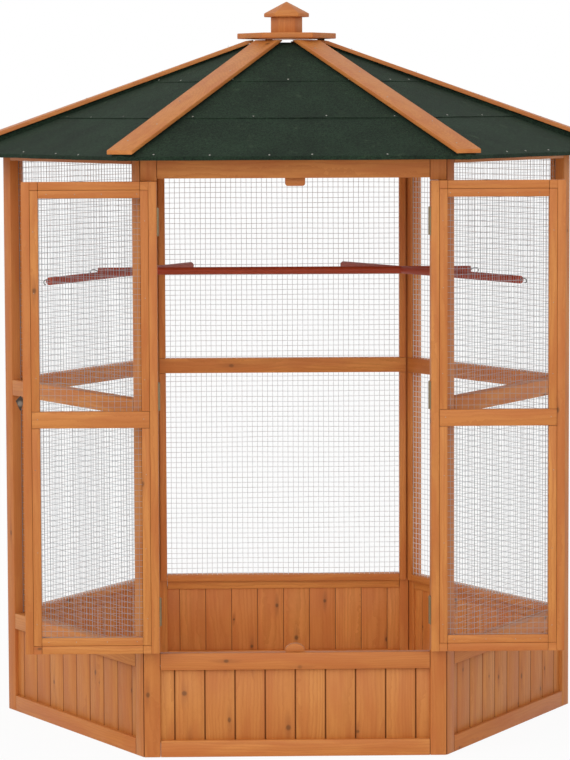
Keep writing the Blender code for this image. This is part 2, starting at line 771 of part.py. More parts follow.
def build():
    """The whole aviary."""
    places = {name: empty(f"wall_{name}", turn=math.radians(turn)) for name, turn in WALLS.items()}
    front_wall(places["front"])
    for name in MESH_WALLS:
        mesh_wall(name, places[name])
    door_stops(places["front"])
    pivot, free_edge = door("left_door", 1)
    turn_button(pivot, free_edge)
    door("right_door", -1)
    perches()
    roof(places)
    for name, turn in HIPS.items():
        hip_batten(name, turn)
    finial()


build()
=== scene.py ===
import math
import random

import bmesh
import bpy
from mathutils import Matrix, Vector, noise


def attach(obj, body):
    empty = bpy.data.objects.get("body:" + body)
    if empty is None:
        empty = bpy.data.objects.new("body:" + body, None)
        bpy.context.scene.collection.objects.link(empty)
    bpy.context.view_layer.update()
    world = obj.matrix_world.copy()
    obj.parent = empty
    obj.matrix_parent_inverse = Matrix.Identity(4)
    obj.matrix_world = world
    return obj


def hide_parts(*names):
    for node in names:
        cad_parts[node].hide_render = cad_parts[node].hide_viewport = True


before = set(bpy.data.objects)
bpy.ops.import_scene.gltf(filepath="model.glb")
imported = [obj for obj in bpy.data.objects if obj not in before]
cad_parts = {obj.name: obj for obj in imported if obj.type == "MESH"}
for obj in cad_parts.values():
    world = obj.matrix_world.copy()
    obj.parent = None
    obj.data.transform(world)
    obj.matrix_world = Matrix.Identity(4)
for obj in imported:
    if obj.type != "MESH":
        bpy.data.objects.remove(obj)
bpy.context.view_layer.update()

# All sizes are in metres. Most are the solids' own. Those of the roof, the door stops, the
# board over the doorway and the boards' pitch follow the photo, a few millimetres off them

# Timber of the walls, with heights over the ground
SIDE = 0.655               # each wall's width, corner to corner
FRAME_T = 0.022
MEMBER_W = 0.036
TOP_RAIL_W = 0.0426
WALL_H = 1.3206            # hidden under the eaves
LOWER_RAIL_Z = 0.193
MID_RAIL_Z = 0.737
BOX_RAIL_Z = 0.190         # the rail under the doorway
HEADER_W = 0.0726          # the board over the doorway
BOARD_PITCH = 0.0651
BOARD_T = 0.010
BOARD_RECESS = 0.008       # from the members' faces back to the boards'
SLOT_DEPTH = 0.006         # of the slots that hold the boards
BOARD_V = 0.0018           # chamfer on each board at a V joint
TONGUE_IN = 0.0055         # from a board's face to the middle of its tongue
TONGUE_HALF = 0.001
EASED = 0.0012             # hand-sanded edges of the timber
JOINT = 0.0005             # open joint between two members
MITRE_GAP = 0.0006         # half the gap at each corner and hip
GAP = 0.0003               # between pieces that rest on each other
SHADE_EDGE = 0.0007        # painted shade in the joints reaches this far in from an end

# Doors, their stops and their turn button
DOOR_GAP = 0.003
DOOR_HEAD_GAP = 0.0055
DOOR_MEMBER_W = 0.035
DOOR_MID_RAIL_Z = 0.718
REBATE_W = 0.0175
REBATE_D = 0.008
PIN_OUT = 0.0032           # the hinge pins stand this far out of the walls' faces
STOP_W = 0.043
STOP_T = 0.015
STOP_OVER = 0.020
STOP_TOP_DROP = 0.0175
STOP_BOTTOM_RISE = 0.0160
STOP_TOP_SHIFT = 0.004     # the upper stop sits a little right of the middle
BUTTON_X = -0.5860
BUTTON_Z = 0.7755

# Mesh, the strips over its edges, and the perches that hang on it
MESH_PITCH = 0.0127        # half-inch welded mesh
# The real wire is probably about 0.9 mm thick everywhere. It is drawn thinner on the doors
# and front walls and thicker at the rear, which is how plainly it shows in the photo
WIRE_R = 0.00029
REAR_WIRE_R = 0.00061
MESH_LAP = 0.012
UPRIGHT_SWAY = 0.0009      # how far the wires wander from straight
LEVEL_SWAY = 0.0022
BEAD_W = 0.016
BEAD_T = 0.006
BEAD_OVER = 0.0024         # the strips' backs, over both layers of wire
HOOK_R = 0.001
HOOK_IN = 0.0023           # from a wall's inner face to the level wires that hooks lie on
HOOK_SEAT = 1.0094         # height of a hook where it lies on its wire
PERCH_R = 0.009
PERCH_Z = 1.0055
PERCH_END_GAP = 0.012

# Roof and finial
PITCH = math.radians(23.4)
OVERHANG = 0.0754
ROOF_BOARD_T = 0.006
VENT_R = 0.080
FELT_T = 0.0015
FELT_LAP = 0.02
FELT_DRIP = 0.0008         # the felt hangs this far under the boards at the eaves
FELT_COLUMNS = 48
FELT_ROWS = 14
COURSE_1 = 0.178
COURSE_2 = 0.186
BATTEN_W = 0.062
BATTEN_T = 0.0085
BATTEN_TOP_R = 0.0765
BATTEN_SETBACK = 0.005
HIP_FELT_HALF = 0.022
SIDE_LEAN = 0.095          # the two side battens lean to the front
SIDE_LIFT = 0.0135         # and rise off the felt toward their lower ends
PLATE_R = 0.114
PLATE_T = 0.0126
PLATE_Z = 1.5543           # its underside
PLATE_CLEAR = 0.0040       # its spacers hold it this far off the battens
POST_R = 0.0365
POST_H = 0.0368
CAP_R = 0.052
CAP_RIM_H = 0.0085
CAP_RISE = 0.0275

COS30 = math.cos(math.radians(30))
TAN30 = math.tan(math.radians(30))
SLOPE = math.tan(PITCH)
HIP_SLOPE = SLOPE * COS30
APOTHEM = SIDE * COS30
FACE = -APOTHEM
BACK = FACE + FRAME_T
OPEN_W = SIDE - 2 * MEMBER_W
TOP_RAIL_Z = WALL_H - TOP_RAIL_W
HEADER_Z = WALL_H - HEADER_W
LOWER_RAIL_TOP = LOWER_RAIL_Z + MEMBER_W
BOX_RAIL_TOP = BOX_RAIL_Z + MEMBER_W
DOOR_W = (OPEN_W - 3 * DOOR_GAP) / 2
DOOR_Z0 = BOX_RAIL_TOP + DOOR_HEAD_GAP
DOOR_Z1 = HEADER_Z - DOOR_HEAD_GAP
PIN_X = OPEN_W / 2 - DOOR_GAP / 2
PIN_Y = FACE - PIN_OUT
EAVE = APOTHEM + OVERHANG
VENT = VENT_R * COS30
BATTEN_RISE = BATTEN_T / math.cos(math.atan(HIP_SLOPE))

# Where each wall and each hip points, in degrees round from the front and from +X
WALLS = {"front": 0, "front_right": 60, "rear_right": 120, "back": 180, "rear_left": 240,
         "front_left": 300}
HIPS = {"right": 0, "rear_right": 60, "rear_left": 120, "left": 180, "front_left": 240,
        "front_right": 300}
DOORS = {"left_door": 1, "right_door": -1}
# The two walls that each perch hooks on, and how far along each
PERCHES = {
    "perch_cross": (("rear_left", -0.019), ("rear_right", 0.019)),
    "perch_left": (("front_left", -0.165), ("back", 0.222)),
    "perch_right": (("front_right", 0.125), ("back", -0.141)),
}

# Turn a flat outline's X, Y and thickness to Y, Z and X, or to X, Z and -Y
ALONG_X = Matrix(((0, 0, 1, 0), (1, 0, 0, 0), (0, 1, 0, 0), (0, 0, 0, 1)))
FACING_FRONT = Matrix(((1, 0, 0, 0), (0, 0, -1, 0), (0, 1, 0, 0), (0, 0, 0, 1)))


# Materials

def linear(colour):
    """An sRGB hex colour as linear values."""
    channels = [int(colour[start:start + 2], 16) / 255 for start in (1, 3, 5)]
    return tuple(c / 12.92 if c <= 0.04045 else ((c + 0.055) / 1.055) ** 2.4 for c in channels)


def rgba(colour):
    """An sRGB hex colour as a node's colour."""
    return (*linear(colour), 1)


def fill(tree, target, inputs):
    """Give a node's inputs their values or links."""
    for name, value in inputs.items():
        socket = target.inputs[name]
        if isinstance(value, bpy.types.NodeSocket):
            tree.links.new(value, socket)
        else:
            socket.default_value = value


def node(tree, kind, inputs=None, **settings):
    """Add a node with its settings, and its inputs as values or links."""
    made = tree.nodes.new(kind)
    for name, value in settings.items():
        setattr(made, name, value)
    fill(tree, made, inputs or {})
    return made


def start_material(name):
    """A new material, its node tree and its shader."""
    material = bpy.data.materials.new(name)
    material.use_nodes = True
    tree = material.node_tree
    return material, tree, tree.nodes["Principled BSDF"]


def stained_fir(name, pale, deep, red, ring_mm, knots):
    """Planed fir under a honey stain: soft growth rings and fine pores that run with each
    member, a redder or paler cast from one member to the next, brown knots with a flame
    of darker wood, and painted shade in the joints and grooves. It gives the eye warm wood
    with a dull satin sheen."""
    material, tree, shader = start_material(name)
    grain = node(tree, "ShaderNodeAttribute", attribute_name="grain").outputs["Vector"]
    tone = node(tree, "ShaderNodeAttribute", attribute_name="tone").outputs["Fac"]
    # Painted shade: this attribute darkens the joints, V grooves and members' ends, where shade
    # falls
    pooled = node(tree, "ShaderNodeAttribute", attribute_name="pooled").outputs["Fac"]
    # The trunk was never quite straight: the rings wander a few millimetres along a member
    slow = node(tree, "ShaderNodeVectorMath", {0: grain, 1: (3.5, 16, 16)},
                operation="MULTIPLY").outputs[0]
    wander = node(tree, "ShaderNodeTexNoise",
                  {"Vector": slow, "Scale": 1.0, "Detail": 2.0}).outputs["Color"]
    centred = node(tree, "ShaderNodeVectorMath", {0: wander, 1: (0.5, 0.5, 0.5)},
                   operation="SUBTRACT").outputs[0]
    moved = node(tree, "ShaderNodeVectorMath", {0: centred, 1: (0, 0.022, 0.022), 2: grain},
                 operation="MULTIPLY_ADD").outputs[0]
    # A knot here and there, 4 to 9 mm across, in places 170 mm long and 70 mm wide
    laid_out = node(tree, "ShaderNodeVectorMath", {0: moved, 1: (6, 14, 0)},
                    operation="MULTIPLY").outputs[0]
    cells = node(tree, "ShaderNodeTexVoronoi", {"Vector": laid_out, "Scale": 1.0},
                 voronoi_dimensions="2D")
    lot = node(tree, "ShaderNodeSeparateColor", {"Color": cells.outputs["Color"]})
    chosen = node(tree, "ShaderNodeMapRange", {"Value": lot.outputs[0], "From Min": 1 - knots,
                                               "From Max": 1.02 - knots}).outputs[0]
    size = node(tree, "ShaderNodeMapRange", {"Value": lot.outputs[1], "To Min": 0.45,
                                             "To Max": 1.2}).outputs[0]
    away = node(tree, "ShaderNodeVectorMath", {0: laid_out, 1: cells.outputs["Position"]},
                operation="SUBTRACT").outputs[0]
    # Its heart is a third longer than wide, and its flame five times as long
    spots = []
    for along, edge, middle, most in ((0.125, 0.0060, 0.0022, 0.85), (0.032, 0.0095, 0.0005, 1)):
        shaped = node(tree, "ShaderNodeVectorMath", {0: away, 1: (along, 0.0714, 0)},
                      operation="MULTIPLY").outputs[0]
        reach = node(tree, "ShaderNodeVectorMath", {0: shaped}, operation="LENGTH")
        share = node(tree, "ShaderNodeMath", {0: reach.outputs["Value"], 1: size},
                     operation="DIVIDE").outputs[0]
        here = node(tree, "ShaderNodeMapRange",
                    {"Value": share, "From Min": edge, "From Max": middle, "To Max": most},
                    interpolation_type="SMOOTHSTEP").outputs[0]
        spots.append(node(tree, "ShaderNodeMath", {0: here, 1: chosen},
                          operation="MULTIPLY").outputs[0])
    heart, flame = spots
    # Rings bend round the knots. A wave of this kind repeats every 0.314 m at scale 1
    bend = node(tree, "ShaderNodeCombineXYZ", {"Y": flame, "Z": flame}).outputs[0]
    flowing = node(tree, "ShaderNodeVectorMath", {0: bend, 1: (0, 0.006, 0.004), 2: moved},
                   operation="MULTIPLY_ADD").outputs[0]
    rings = node(tree, "ShaderNodeTexWave",
                 {"Vector": flowing, "Scale": 0.314 / (ring_mm / 1000), "Distortion": 2.2,
                  "Detail": 2.0, "Detail Scale": 1.4, "Detail Roughness": 0.55},
                 wave_type="RINGS", rings_direction="X", wave_profile="SAW").outputs["Fac"]
    late = node(tree, "ShaderNodeMapRange", {"Value": rings, "From Min": 0.35, "To Max": 0.42},
                interpolation_type="SMOOTHSTEP").outputs[0]
    # Pores are 0.1 mm wide, drawn 0.8 mm wide so that they show. Streaks are 9 mm wide and
    # 250 mm long, and clouds 33 mm and 170 mm. Each has its repeats in a metre along, across
    # and through the wood, its detail and roughness, and the range that gives its share.
    patterns = {}
    for label, source, repeats, detail, rough, low, high, most in (
            ("pores", flowing, (26, 1250, 1250), 2.0, 0.6, 0.45, 0.75, 0.16),
            ("streaks", flowing, (4, 110, 110), 3.0, 0.6, 0.40, 0.68, 0.40),
            ("clouds", grain, (6, 30, 30), 2.0, 0.5, 0.40, 0.64, 0.50)):
        scaled = node(tree, "ShaderNodeVectorMath", {0: source, 1: repeats},
                      operation="MULTIPLY").outputs[0]
        value = node(tree, "ShaderNodeTexNoise", {"Vector": scaled, "Scale": 1.0,
                                                  "Detail": detail, "Roughness": rough})
        share = node(tree, "ShaderNodeMapRange",
                     {"Value": value.outputs["Fac"], "From Min": low, "From Max": high,
                      "To Max": most}, interpolation_type="SMOOTHSTEP")
        patterns[label] = (value.outputs["Fac"], share.outputs[0])
    pores, pore_share = patterns["pores"]
    tone_share, flame_share, joint_shade_share = [
        node(tree, "ShaderNodeMath", {0: value, 1: most}, operation="MULTIPLY").outputs[0]
        for value, most in ((tone, 0.5), (flame, 0.5), (pooled, 0.82))]
    base = rgba(pale)
    # The last colour, #5a290c, lays painted shade in the joints and grooves
    for share, colour in (
            (late, deep), (patterns["streaks"][1], deep), (pore_share, deep),
            (patterns["clouds"][1], red), (tone_share, red), (flame_share, "#935022"),
            (heart, "#70421a"), (joint_shade_share, "#5a290c")):
        base = node(tree, "ShaderNodeMix", {0: share, 6: base, 7: rgba(colour)},
                    data_type="RGBA").outputs[2]
    satin = node(tree, "ShaderNodeMapRange", {"Value": pores, "From Min": 0.3, "From Max": 0.7,
                                              "To Min": 0.46, "To Max": 0.60}).outputs[0]
    relief = node(tree, "ShaderNodeMath", {0: late, 1: pores}, operation="ADD").outputs[0]
    bump = node(tree, "ShaderNodeBump", {"Height": relief, "Strength": 0.35, "Distance": 0.0003})
    fill(tree, shader, {"Base Color": base, "Roughness": satin, "Normal": bump.outputs["Normal"],
                        "IOR": 1.5, "Specular IOR Level": 0.35})
    return material


def mineral_felt(name):
    """Bitumen felt faced with green mineral grit: dark, matt and slightly sparkling, with
    lighter scuffs. The grit is 1 mm, drawn at 2 mm so that it shows, the scuffs 26 mm and
    the darker and lighter patches 110 mm."""
    material, tree, shader = start_material(name)
    place = node(tree, "ShaderNodeTexCoord").outputs["Object"]
    grit = node(tree, "ShaderNodeTexVoronoi", {"Vector": place, "Scale": 480.0})
    specks = node(tree, "ShaderNodeSeparateColor", {"Color": grit.outputs["Color"]})
    patches = node(tree, "ShaderNodeTexNoise",
                   {"Vector": place, "Scale": 9.0, "Detail": 4.0}).outputs["Fac"]
    scuffs = node(tree, "ShaderNodeTexNoise", {"Vector": place, "Scale": 38.0, "Detail": 5.0,
                                               "Roughness": 0.7}).outputs["Fac"]
    shade = node(tree, "ShaderNodeMapRange", {"Value": patches, "From Min": 0.3, "From Max": 0.7,
                                              "To Min": 0.72, "To Max": 1.2}).outputs[0]
    scuffed = node(tree, "ShaderNodeMapRange", {"Value": scuffs, "From Min": 0.60,
                                                "From Max": 0.74, "To Max": 0.35}).outputs[0]
    colour = node(tree, "ShaderNodeMix", {0: specks.outputs[0], 6: rgba("#0f1a12"),
                                          7: rgba("#263828")}, data_type="RGBA").outputs[2]
    colour = node(tree, "ShaderNodeMix", {0: 1.0, 6: colour, 7: shade}, data_type="RGBA",
                  blend_type="MULTIPLY").outputs[2]
    colour = node(tree, "ShaderNodeMix", {0: scuffed, 6: colour, 7: rgba("#4e5e48")},
                  data_type="RGBA").outputs[2]
    bump = node(tree, "ShaderNodeBump", {"Height": specks.outputs[1], "Strength": 0.6,
                                         "Distance": 0.0008})
    fill(tree, shader, {"Base Color": colour, "Normal": bump.outputs["Normal"],
                        "Roughness": 0.92, "IOR": 1.45, "Specular IOR Level": 0.25})
    return material


def zinc(name, colour, low, high, clouds_per_metre, metallic=1.0):
    """Zinc on steel: a soft grey metal with cloudy spangle in its sheen, dull where the
    zinc has gone off."""
    material, tree, shader = start_material(name)
    place = node(tree, "ShaderNodeTexCoord").outputs["Object"]
    clouds = node(tree, "ShaderNodeTexNoise",
                  {"Vector": place, "Scale": clouds_per_metre, "Detail": 3.0}).outputs["Fac"]
    sheen = node(tree, "ShaderNodeMapRange", {"Value": clouds, "From Min": 0.35,
                                              "From Max": 0.65, "To Min": low, "To Max": high})
    bright = linear(colour)
    tint = node(tree, "ShaderNodeMix", {0: clouds, 6: (*[c * 0.78 for c in bright], 1),
                                        7: (*bright, 1)}, data_type="RGBA")
    fill(tree, shader, {"Base Color": tint.outputs[2], "Roughness": sheen.outputs[0],
                        "Metallic": metallic})
    return material


def browned_iron(name, highlight_at):
    """Browned cast iron: almost black, with the 1 mm grain of the casting, and a painted
    highlight of lighter grey on the turn button's dome, round the point that is given."""
    material, tree, shader = start_material(name)
    place = node(tree, "ShaderNodeTexCoord").outputs["Object"]
    cast = node(tree, "ShaderNodeTexNoise",
                {"Vector": place, "Scale": 900.0, "Detail": 3.0}).outputs["Fac"]
    # A painted highlight: lighter grey #776c62 within 8.5 mm of the given point, the middle of the
    # turn button's dome
    away = node(tree, "ShaderNodeVectorMath", {0: place, 1: highlight_at},
                operation="DISTANCE").outputs["Value"]
    highlight = node(tree, "ShaderNodeMapRange", {"Value": away, "From Min": 0.0085,
                                            "From Max": 0.0035},
               interpolation_type="SMOOTHSTEP").outputs[0]
    tint = node(tree, "ShaderNodeMix", {0: highlight, 6: rgba("#40362f"), 7: rgba("#776c62")},
                data_type="RGBA")
    rough = node(tree, "ShaderNodeMapRange", {"Value": cast, "To Min": 0.35, "To Max": 0.6})
    bump = node(tree, "ShaderNodeBump", {"Height": cast, "Strength": 0.4, "Distance": 0.0003})
    fill(tree, shader, {"Base Color": tint.outputs[2], "Roughness": rough.outputs[0],
                        "Normal": bump.outputs["Normal"], "Metallic": 0.85})
    return material


# Each with its early wood, its late wood and its redder cast, and the rings' spacing
FIR = stained_fir("planed_fir_honey_stain", "#cb8440", "#ad6527", "#b05f28", 4.2, 0.13)
FIR_BOARD = stained_fir("tongued_fir_boards_honey_stain", "#c98440", "#ac6529", "#b1622a",
                        5.5, 0.45)
# The rear walls' fir is the same fir painted a shade paler: painted light for the light that
# reaches the inside
LIT_REAR_FIR = stained_fir("planed_fir_painted_lighter", "#dc8f45", "#bb6e2a", "#bf672c", 4.2, 0.13)
LIT_REAR_BOARD = stained_fir("tongued_fir_boards_painted_lighter", "#e09248", "#c0712e", "#c66e30",
                         5.5, 0.45)
ROOF_BOARD = stained_fir("roof_boarding_fir", "#c48848", "#a86c34", "#ac6834", 5.0, 0.25)
DOWEL = stained_fir("red_brown_stained_dowel", "#ad4322", "#8f3518", "#a23c1d", 2.5, 0.0)
FELT = mineral_felt("green_mineral_felt")
# Clouds of 17 mm on the wire and 11 mm on the small fittings. The rear walls' wire is the same
# wire as the doors' and front walls', painted near white and less metallic: painted light for how
# brightly it is lit
WIRE = zinc("galvanised_wire", "#aeb4b9", 0.45, 0.65, 60.0, 0.7)
LIT_REAR_WIRE = zinc("galvanised_wire_painted_lighter", "#eef0f2", 0.50, 0.70, 60.0, 0.1)
HINGE_STEEL = zinc("zinc_plated_hinge_steel", "#8d7b5e", 0.28, 0.45, 90.0)
HOOK_STEEL = zinc("weathered_hook_wire", "#5f5b57", 0.35, 0.55, 90.0)
NAIL_STEEL = zinc("galvanised_nail", "#a9a79f", 0.25, 0.40, 90.0)
# The painted highlight sits on the middle of the turn button
IRON = browned_iron("browned_cast_iron", (BUTTON_X, PIN_Y, BUTTON_Z - 0.006))


# Shapes

def oblong(left, right, near, far):
    """A flat outline with four corners."""
    return [(left, near), (right, near), (right, far), (left, far)]


def extruded(outline, low, high, turn=None):
    """A flat outline in X and Y made thick from low to high, and turned if asked."""
    shape = bmesh.new()
    foot = [shape.verts.new((x, y, low)) for x, y in outline]
    head = [shape.verts.new((x, y, high)) for x, y in outline]
    count = len(outline)
    shape.faces.new(foot)
    shape.faces.new(head)
    for step in range(count):
        after = (step + 1) % count
        shape.faces.new((foot[step], foot[after], head[after], head[step]))
    if turn is not None:
        bmesh.ops.transform(shape, matrix=turn, verts=shape.verts)
    return shape


def eased(shape, width=EASED, segments=2, sharp=25):
    """Take the edges that are sharper than an angle in degrees off a shape."""
    bmesh.ops.recalc_face_normals(shape, faces=shape.faces)
    edges = [edge for edge in shape.edges if edge.calc_face_angle(0) > math.radians(sharp)]
    bmesh.ops.bevel(shape, geom=edges, offset=width, offset_type="OFFSET", segments=segments,
                    profile=0.5, affect="EDGES", clamp_overlap=True)
    return shape


def soften(mesh, sharp):
    """Smooth a mesh's faces, except over edges sharper than an angle in degrees."""
    mesh.shade_smooth()
    mesh.set_sharp_from_angle(angle=math.radians(sharp))


def linked(name, data):
    """A new object in the scene."""
    item = bpy.data.objects.new(name, data)
    bpy.context.scene.collection.objects.link(item)
    return item


def settle(name, mesh, material, body, slot, *nodes):
    """Link a mesh as a piece of a body, with its finish and the solids that it stands for."""
    mesh.materials.append(material)
    item = linked(name, mesh)
    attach(item, body)
    if nodes:
        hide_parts(*nodes)
    return item


class Timber:
    """The separate members of one piece, each with its own grain."""

    def __init__(self, seed):
        self.random = random.Random(seed)
        self.points = []
        self.faces = []
        self.grain = []
        self.tone = []
        self.pooled = []

    def add(self, shape, axes, place=None, tone=None, pooled=None):
        """Add a shape. Its axes say which of X, Y and Z run along, across and through it,
        and the last argument says how dark the painted shade in the joints lies at a point."""
        order = ["XYZ".index(letter) for letter in axes]
        pick = self.random
        offset = Vector((pick.uniform(0, 9), pick.uniform(-0.05, 0.05), pick.uniform(0.03, 0.09)))
        cast = pick.random() if tone is None else tone
        middle = sum((vertex.co for vertex in shape.verts), Vector()) / len(shape.verts)
        start = len(self.points)
        shape.verts.index_update()
        for vertex in shape.verts:
            local = vertex.co - middle
            self.grain.append(Vector([local[index] for index in order]) + offset)
            self.tone.append(cast)
            self.pooled.append(pooled(vertex.co) if pooled else 0.0)
            self.points.append(place @ vertex.co if place is not None else vertex.co.copy())
        for face in shape.faces:
            self.faces.append([start + vertex.index for vertex in face.verts])
        shape.free()

    def piece(self, name, material, body, slot, *nodes):
        """The finished piece, riding on its body in place of its solids."""
        mesh = bpy.data.meshes.new(name)
        mesh.from_pydata(self.points, [], self.faces)
        mesh.update()
        for label, kind, field, values in (
                ("grain", "FLOAT_VECTOR", "vector", [c for point in self.grain for c in point]),
                ("tone", "FLOAT", "value", self.tone),
                ("pooled", "FLOAT", "value", self.pooled)):
            mesh.attributes.new(label, kind, "POINT").data.foreach_set(field, values)
        soften(mesh, 35)
        return settle(name, mesh, material, body, slot, *nodes)


class Tubes:
    """Round wires, each along its own points."""

    def __init__(self):
        self.points = []
        self.faces = []

    def add(self, run, radius, sides=6):
        """Add a wire along a run of points."""
        run = [Vector(point) for point in run]
        start = len(self.points)
        last = len(run) - 1
        across = None
        for step, point in enumerate(run):
            along = (run[min(step + 1, last)] - run[max(step - 1, 0)]).normalized()
            if across is None:
                across = along.orthogonal().normalized()
            across = (across - along * across.dot(along)).normalized()
            other = along.cross(across)
            for side in range(sides):
                angle = 2 * math.pi * (side + 0.5) / sides
                spoke = across * math.cos(angle) + other * math.sin(angle)
                self.points.append(point + spoke * radius)
        for step in range(last):
            for side in range(sides):
                near = start + step * sides + side
                next_side = start + step * sides + (side + 1) % sides
                self.faces.append((near, next_side, next_side + sides, near + sides))
        self.faces.append([start + side for side in reversed(range(sides))])
        self.faces.append([start + last * sides + side for side in range(sides)])

    def piece(self, name, material, body, slot, *nodes):
        """The finished piece, riding on its body in place of its solids."""
        mesh = bpy.data.meshes.new(name)
        mesh.from_pydata(self.points, [], self.faces)
        mesh.update()
        soften(mesh, 60)
        return settle(name, mesh, material, body, slot, *nodes)


def wall_place(name):
    """Turns the front wall's frame to a wall's own."""
    return Matrix.Rotation(math.radians(WALLS[name]), 4, "Z")


def hip_place(name):
    """Turns a hip that runs along +X to its own direction."""
    return Matrix.Rotation(math.radians(HIPS[name]), 4, "Z")


# Walls

def shaded_ends(axis, low, high, share=1.0):
    """Painted shade lies dark on the eased edges where a member ends against another."""
    return lambda point: share if min(point[axis] - low, high - point[axis]) < SHADE_EDGE else 0.0


def stile(timber, hand, place, split=None):
    """A wall's stile, mitred to the next wall and cut to the roof's pitch. Where it is
    split, a block stands on it beside the board over the doorway."""
    corner = SIDE / 2 - MITRE_GAP
    section = [
        (hand * OPEN_W / 2, FACE),
        (hand * corner, FACE),
        (hand * (corner - FRAME_T * TAN30), BACK),
        (hand * OPEN_W / 2, BACK),
    ]
    levels = [0, WALL_H] if split is None else [0, split, WALL_H]
    for low, high in zip(levels, levels[1:]):
        low += JOINT if low > 0 else 0
        high -= JOINT if high < WALL_H else 0
        shape = extruded(section, low, high)
        for vertex in shape.verts:
            if vertex.co.z > WALL_H - 0.001:
                vertex.co.z += (vertex.co.y - FACE) * SLOPE
        # Painted shade at the mitre, and at the joint over the block where the stile is split
        timber.add(eased(shape), "ZXY", place, pooled=lambda point: float(
            corner - (point.y - FACE) * TAN30 - abs(point.x) < SHADE_EDGE
            or (split is not None and abs(point.z - split) < JOINT + SHADE_EDGE)))


def rail(timber, low, high, place, sloped=False):
    """A rail between two stiles."""
    half = OPEN_W / 2 - JOINT
    rise = FRAME_T * SLOPE if sloped else 0
    section = [(FACE, low), (BACK, low), (BACK, high + rise), (FACE, high)]
    shape = eased(extruded(section, -half, half, ALONG_X))
    # Painted shade at both ends, where the rail meets the stiles
    timber.add(shape, "XZY", place, pooled=shaded_ends(0, -half, half))


def boards(timber, rail_z, place):
    """Tongued boards with a V at each joint, whole ones in the middle, and painted shade dark
    in the V."""
    front = FACE + BOARD_RECESS
    back = front + BOARD_T
    tongue = front + TONGUE_IN

    def groove_shade(point):
        """Painted shade: dark in the bottom of a joint and half as dark on the chamfers at its
        face.
        """
        depth = min(point.y - front, back - point.y)
        return 0.0 if depth < 0.00015 else 0.45 if depth < 0.0008 and point.y < tongue else 0.9

    joints = round(OPEN_W / BOARD_PITCH)
    end = OPEN_W / 2 + SLOT_DEPTH - GAP
    edges = [(step - (joints - 1) / 2) * BOARD_PITCH for step in range(joints)]
    edges = [-end] + edges + [end]
    low = MEMBER_W - SLOT_DEPTH + GAP
    high = rail_z + SLOT_DEPTH - GAP
    for left, right in zip(edges, edges[1:]):
        left += GAP
        right -= GAP
        groove = left - 0.0006
        section = [
            (left + BOARD_V, front), (left, front + BOARD_V), (left, tongue - TONGUE_HALF),
            (groove, tongue - TONGUE_HALF), (groove, tongue + TONGUE_HALF),
            (left, tongue + TONGUE_HALF), (left, back - 0.0004), (left + 0.0004, back),
            (right - 0.0004, back), (right, back - 0.0004), (right, front + BOARD_V),
            (right - BOARD_V, front),
        ]
        shape = eased(extruded(section, low, high), 0.0003, 1)
        timber.add(shape, "ZXY", place, pooled=groove_shade)


def strip(timber, x_ends, y_ends, z_ends, place):
    """A planed strip with its corners taken off and its grain along its longer side."""
    (left, right), (near, far), (low, high) = sorted(x_ends), sorted(y_ends), sorted(z_ends)
    lying = right - left > high - low
    shape = eased(extruded(oblong(left, right, near, far), low, high), 0.0008, 2)
    # Painted shade, half as dark, at the strip's ends
    pooled = shaded_ends(0, left, right, 0.5) if lying else shaded_ends(2, low, high, 0.5)
    timber.add(shape, "XZY" if lying else "ZXY", place, pooled=pooled)


def wall_beads(name, index, place):
    """Strips over the edges of a wall's mesh, and a wider one over its mid rail."""
    timber = Timber(250 + index)
    depth = (BACK + BEAD_OVER, BACK + BEAD_OVER + BEAD_T)
    edge = OPEN_W / 2
    low, high = LOWER_RAIL_TOP, TOP_RAIL_Z
    mid_low, mid_high = MID_RAIL_Z, MID_RAIL_Z + MEMBER_W
    strip(timber, (JOINT - edge, edge - JOINT), depth, (low - BEAD_W, low), place)
    strip(timber, (JOINT - edge, edge - JOINT), depth, (high, high + BEAD_W), place)
    strip(timber, (-edge - BEAD_W, edge + BEAD_W), depth, (mid_low, mid_high), place)
    for hand in (-1, 1):
        across = (hand * edge, hand * (edge + BEAD_W))
        strip(timber, across, depth, (low - BEAD_W, mid_low - JOINT), place)
        strip(timber, across, depth, (mid_high + JOINT, high + BEAD_W), place)
    # The rear walls' strips take the fir painted paler, painted light for the light inside
    wood = FIR if name.startswith("front") else LIT_REAR_FIR
    timber.piece(f"{name}_mesh_beads", wood, "aviary", "stained_fir")


def wavy(start, stop, steps, sway, seed, axis):
    """Points of a wire that wanders a little from straight along one axis."""
    start = Vector(start)
    stop = Vector(stop)
    run = []
    for step in range(steps + 1):
        point = start.lerp(stop, step / steps)
        place = Vector((point.x * 4 + point.z * 4, seed * 0.31, axis * 11.0))
        point[axis] += sway * noise.noise(place)
        run.append(point)
    return run


def welded_mesh(left, right, low, high, surface, place, seed, segments=10, radius=WIRE_R):
    """Half-inch welded mesh: upright wires on the surface and level wires over them."""
    tubes = Tubes()
    upright_y = surface + GAP + radius
    level_y = upright_y + 1.7 * radius
    half_x = int((right - left) / (2 * MESH_PITCH)) * MESH_PITCH
    half_z = int((high - low) / (2 * MESH_PITCH)) * MESH_PITCH
    uprights = round(2 * half_x / MESH_PITCH) + 1
    for step in range(uprights):
        x = (left + right) / 2 - half_x + step * MESH_PITCH
        run = wavy((x, upright_y, low), (x, upright_y, high), segments * 2, UPRIGHT_SWAY,
                   seed + step, 0)
        tubes.add([place @ point for point in run], radius)
    for step in range(round(2 * half_z / MESH_PITCH) + 1):
        z = (low + high) / 2 - half_z + step * MESH_PITCH
        run = wavy((left, level_y, z), (right, level_y, z), segments, LEVEL_SWAY,
                   seed + uprights + step, 2)
        tubes.add([place @ point for point in run], radius)
    return tubes


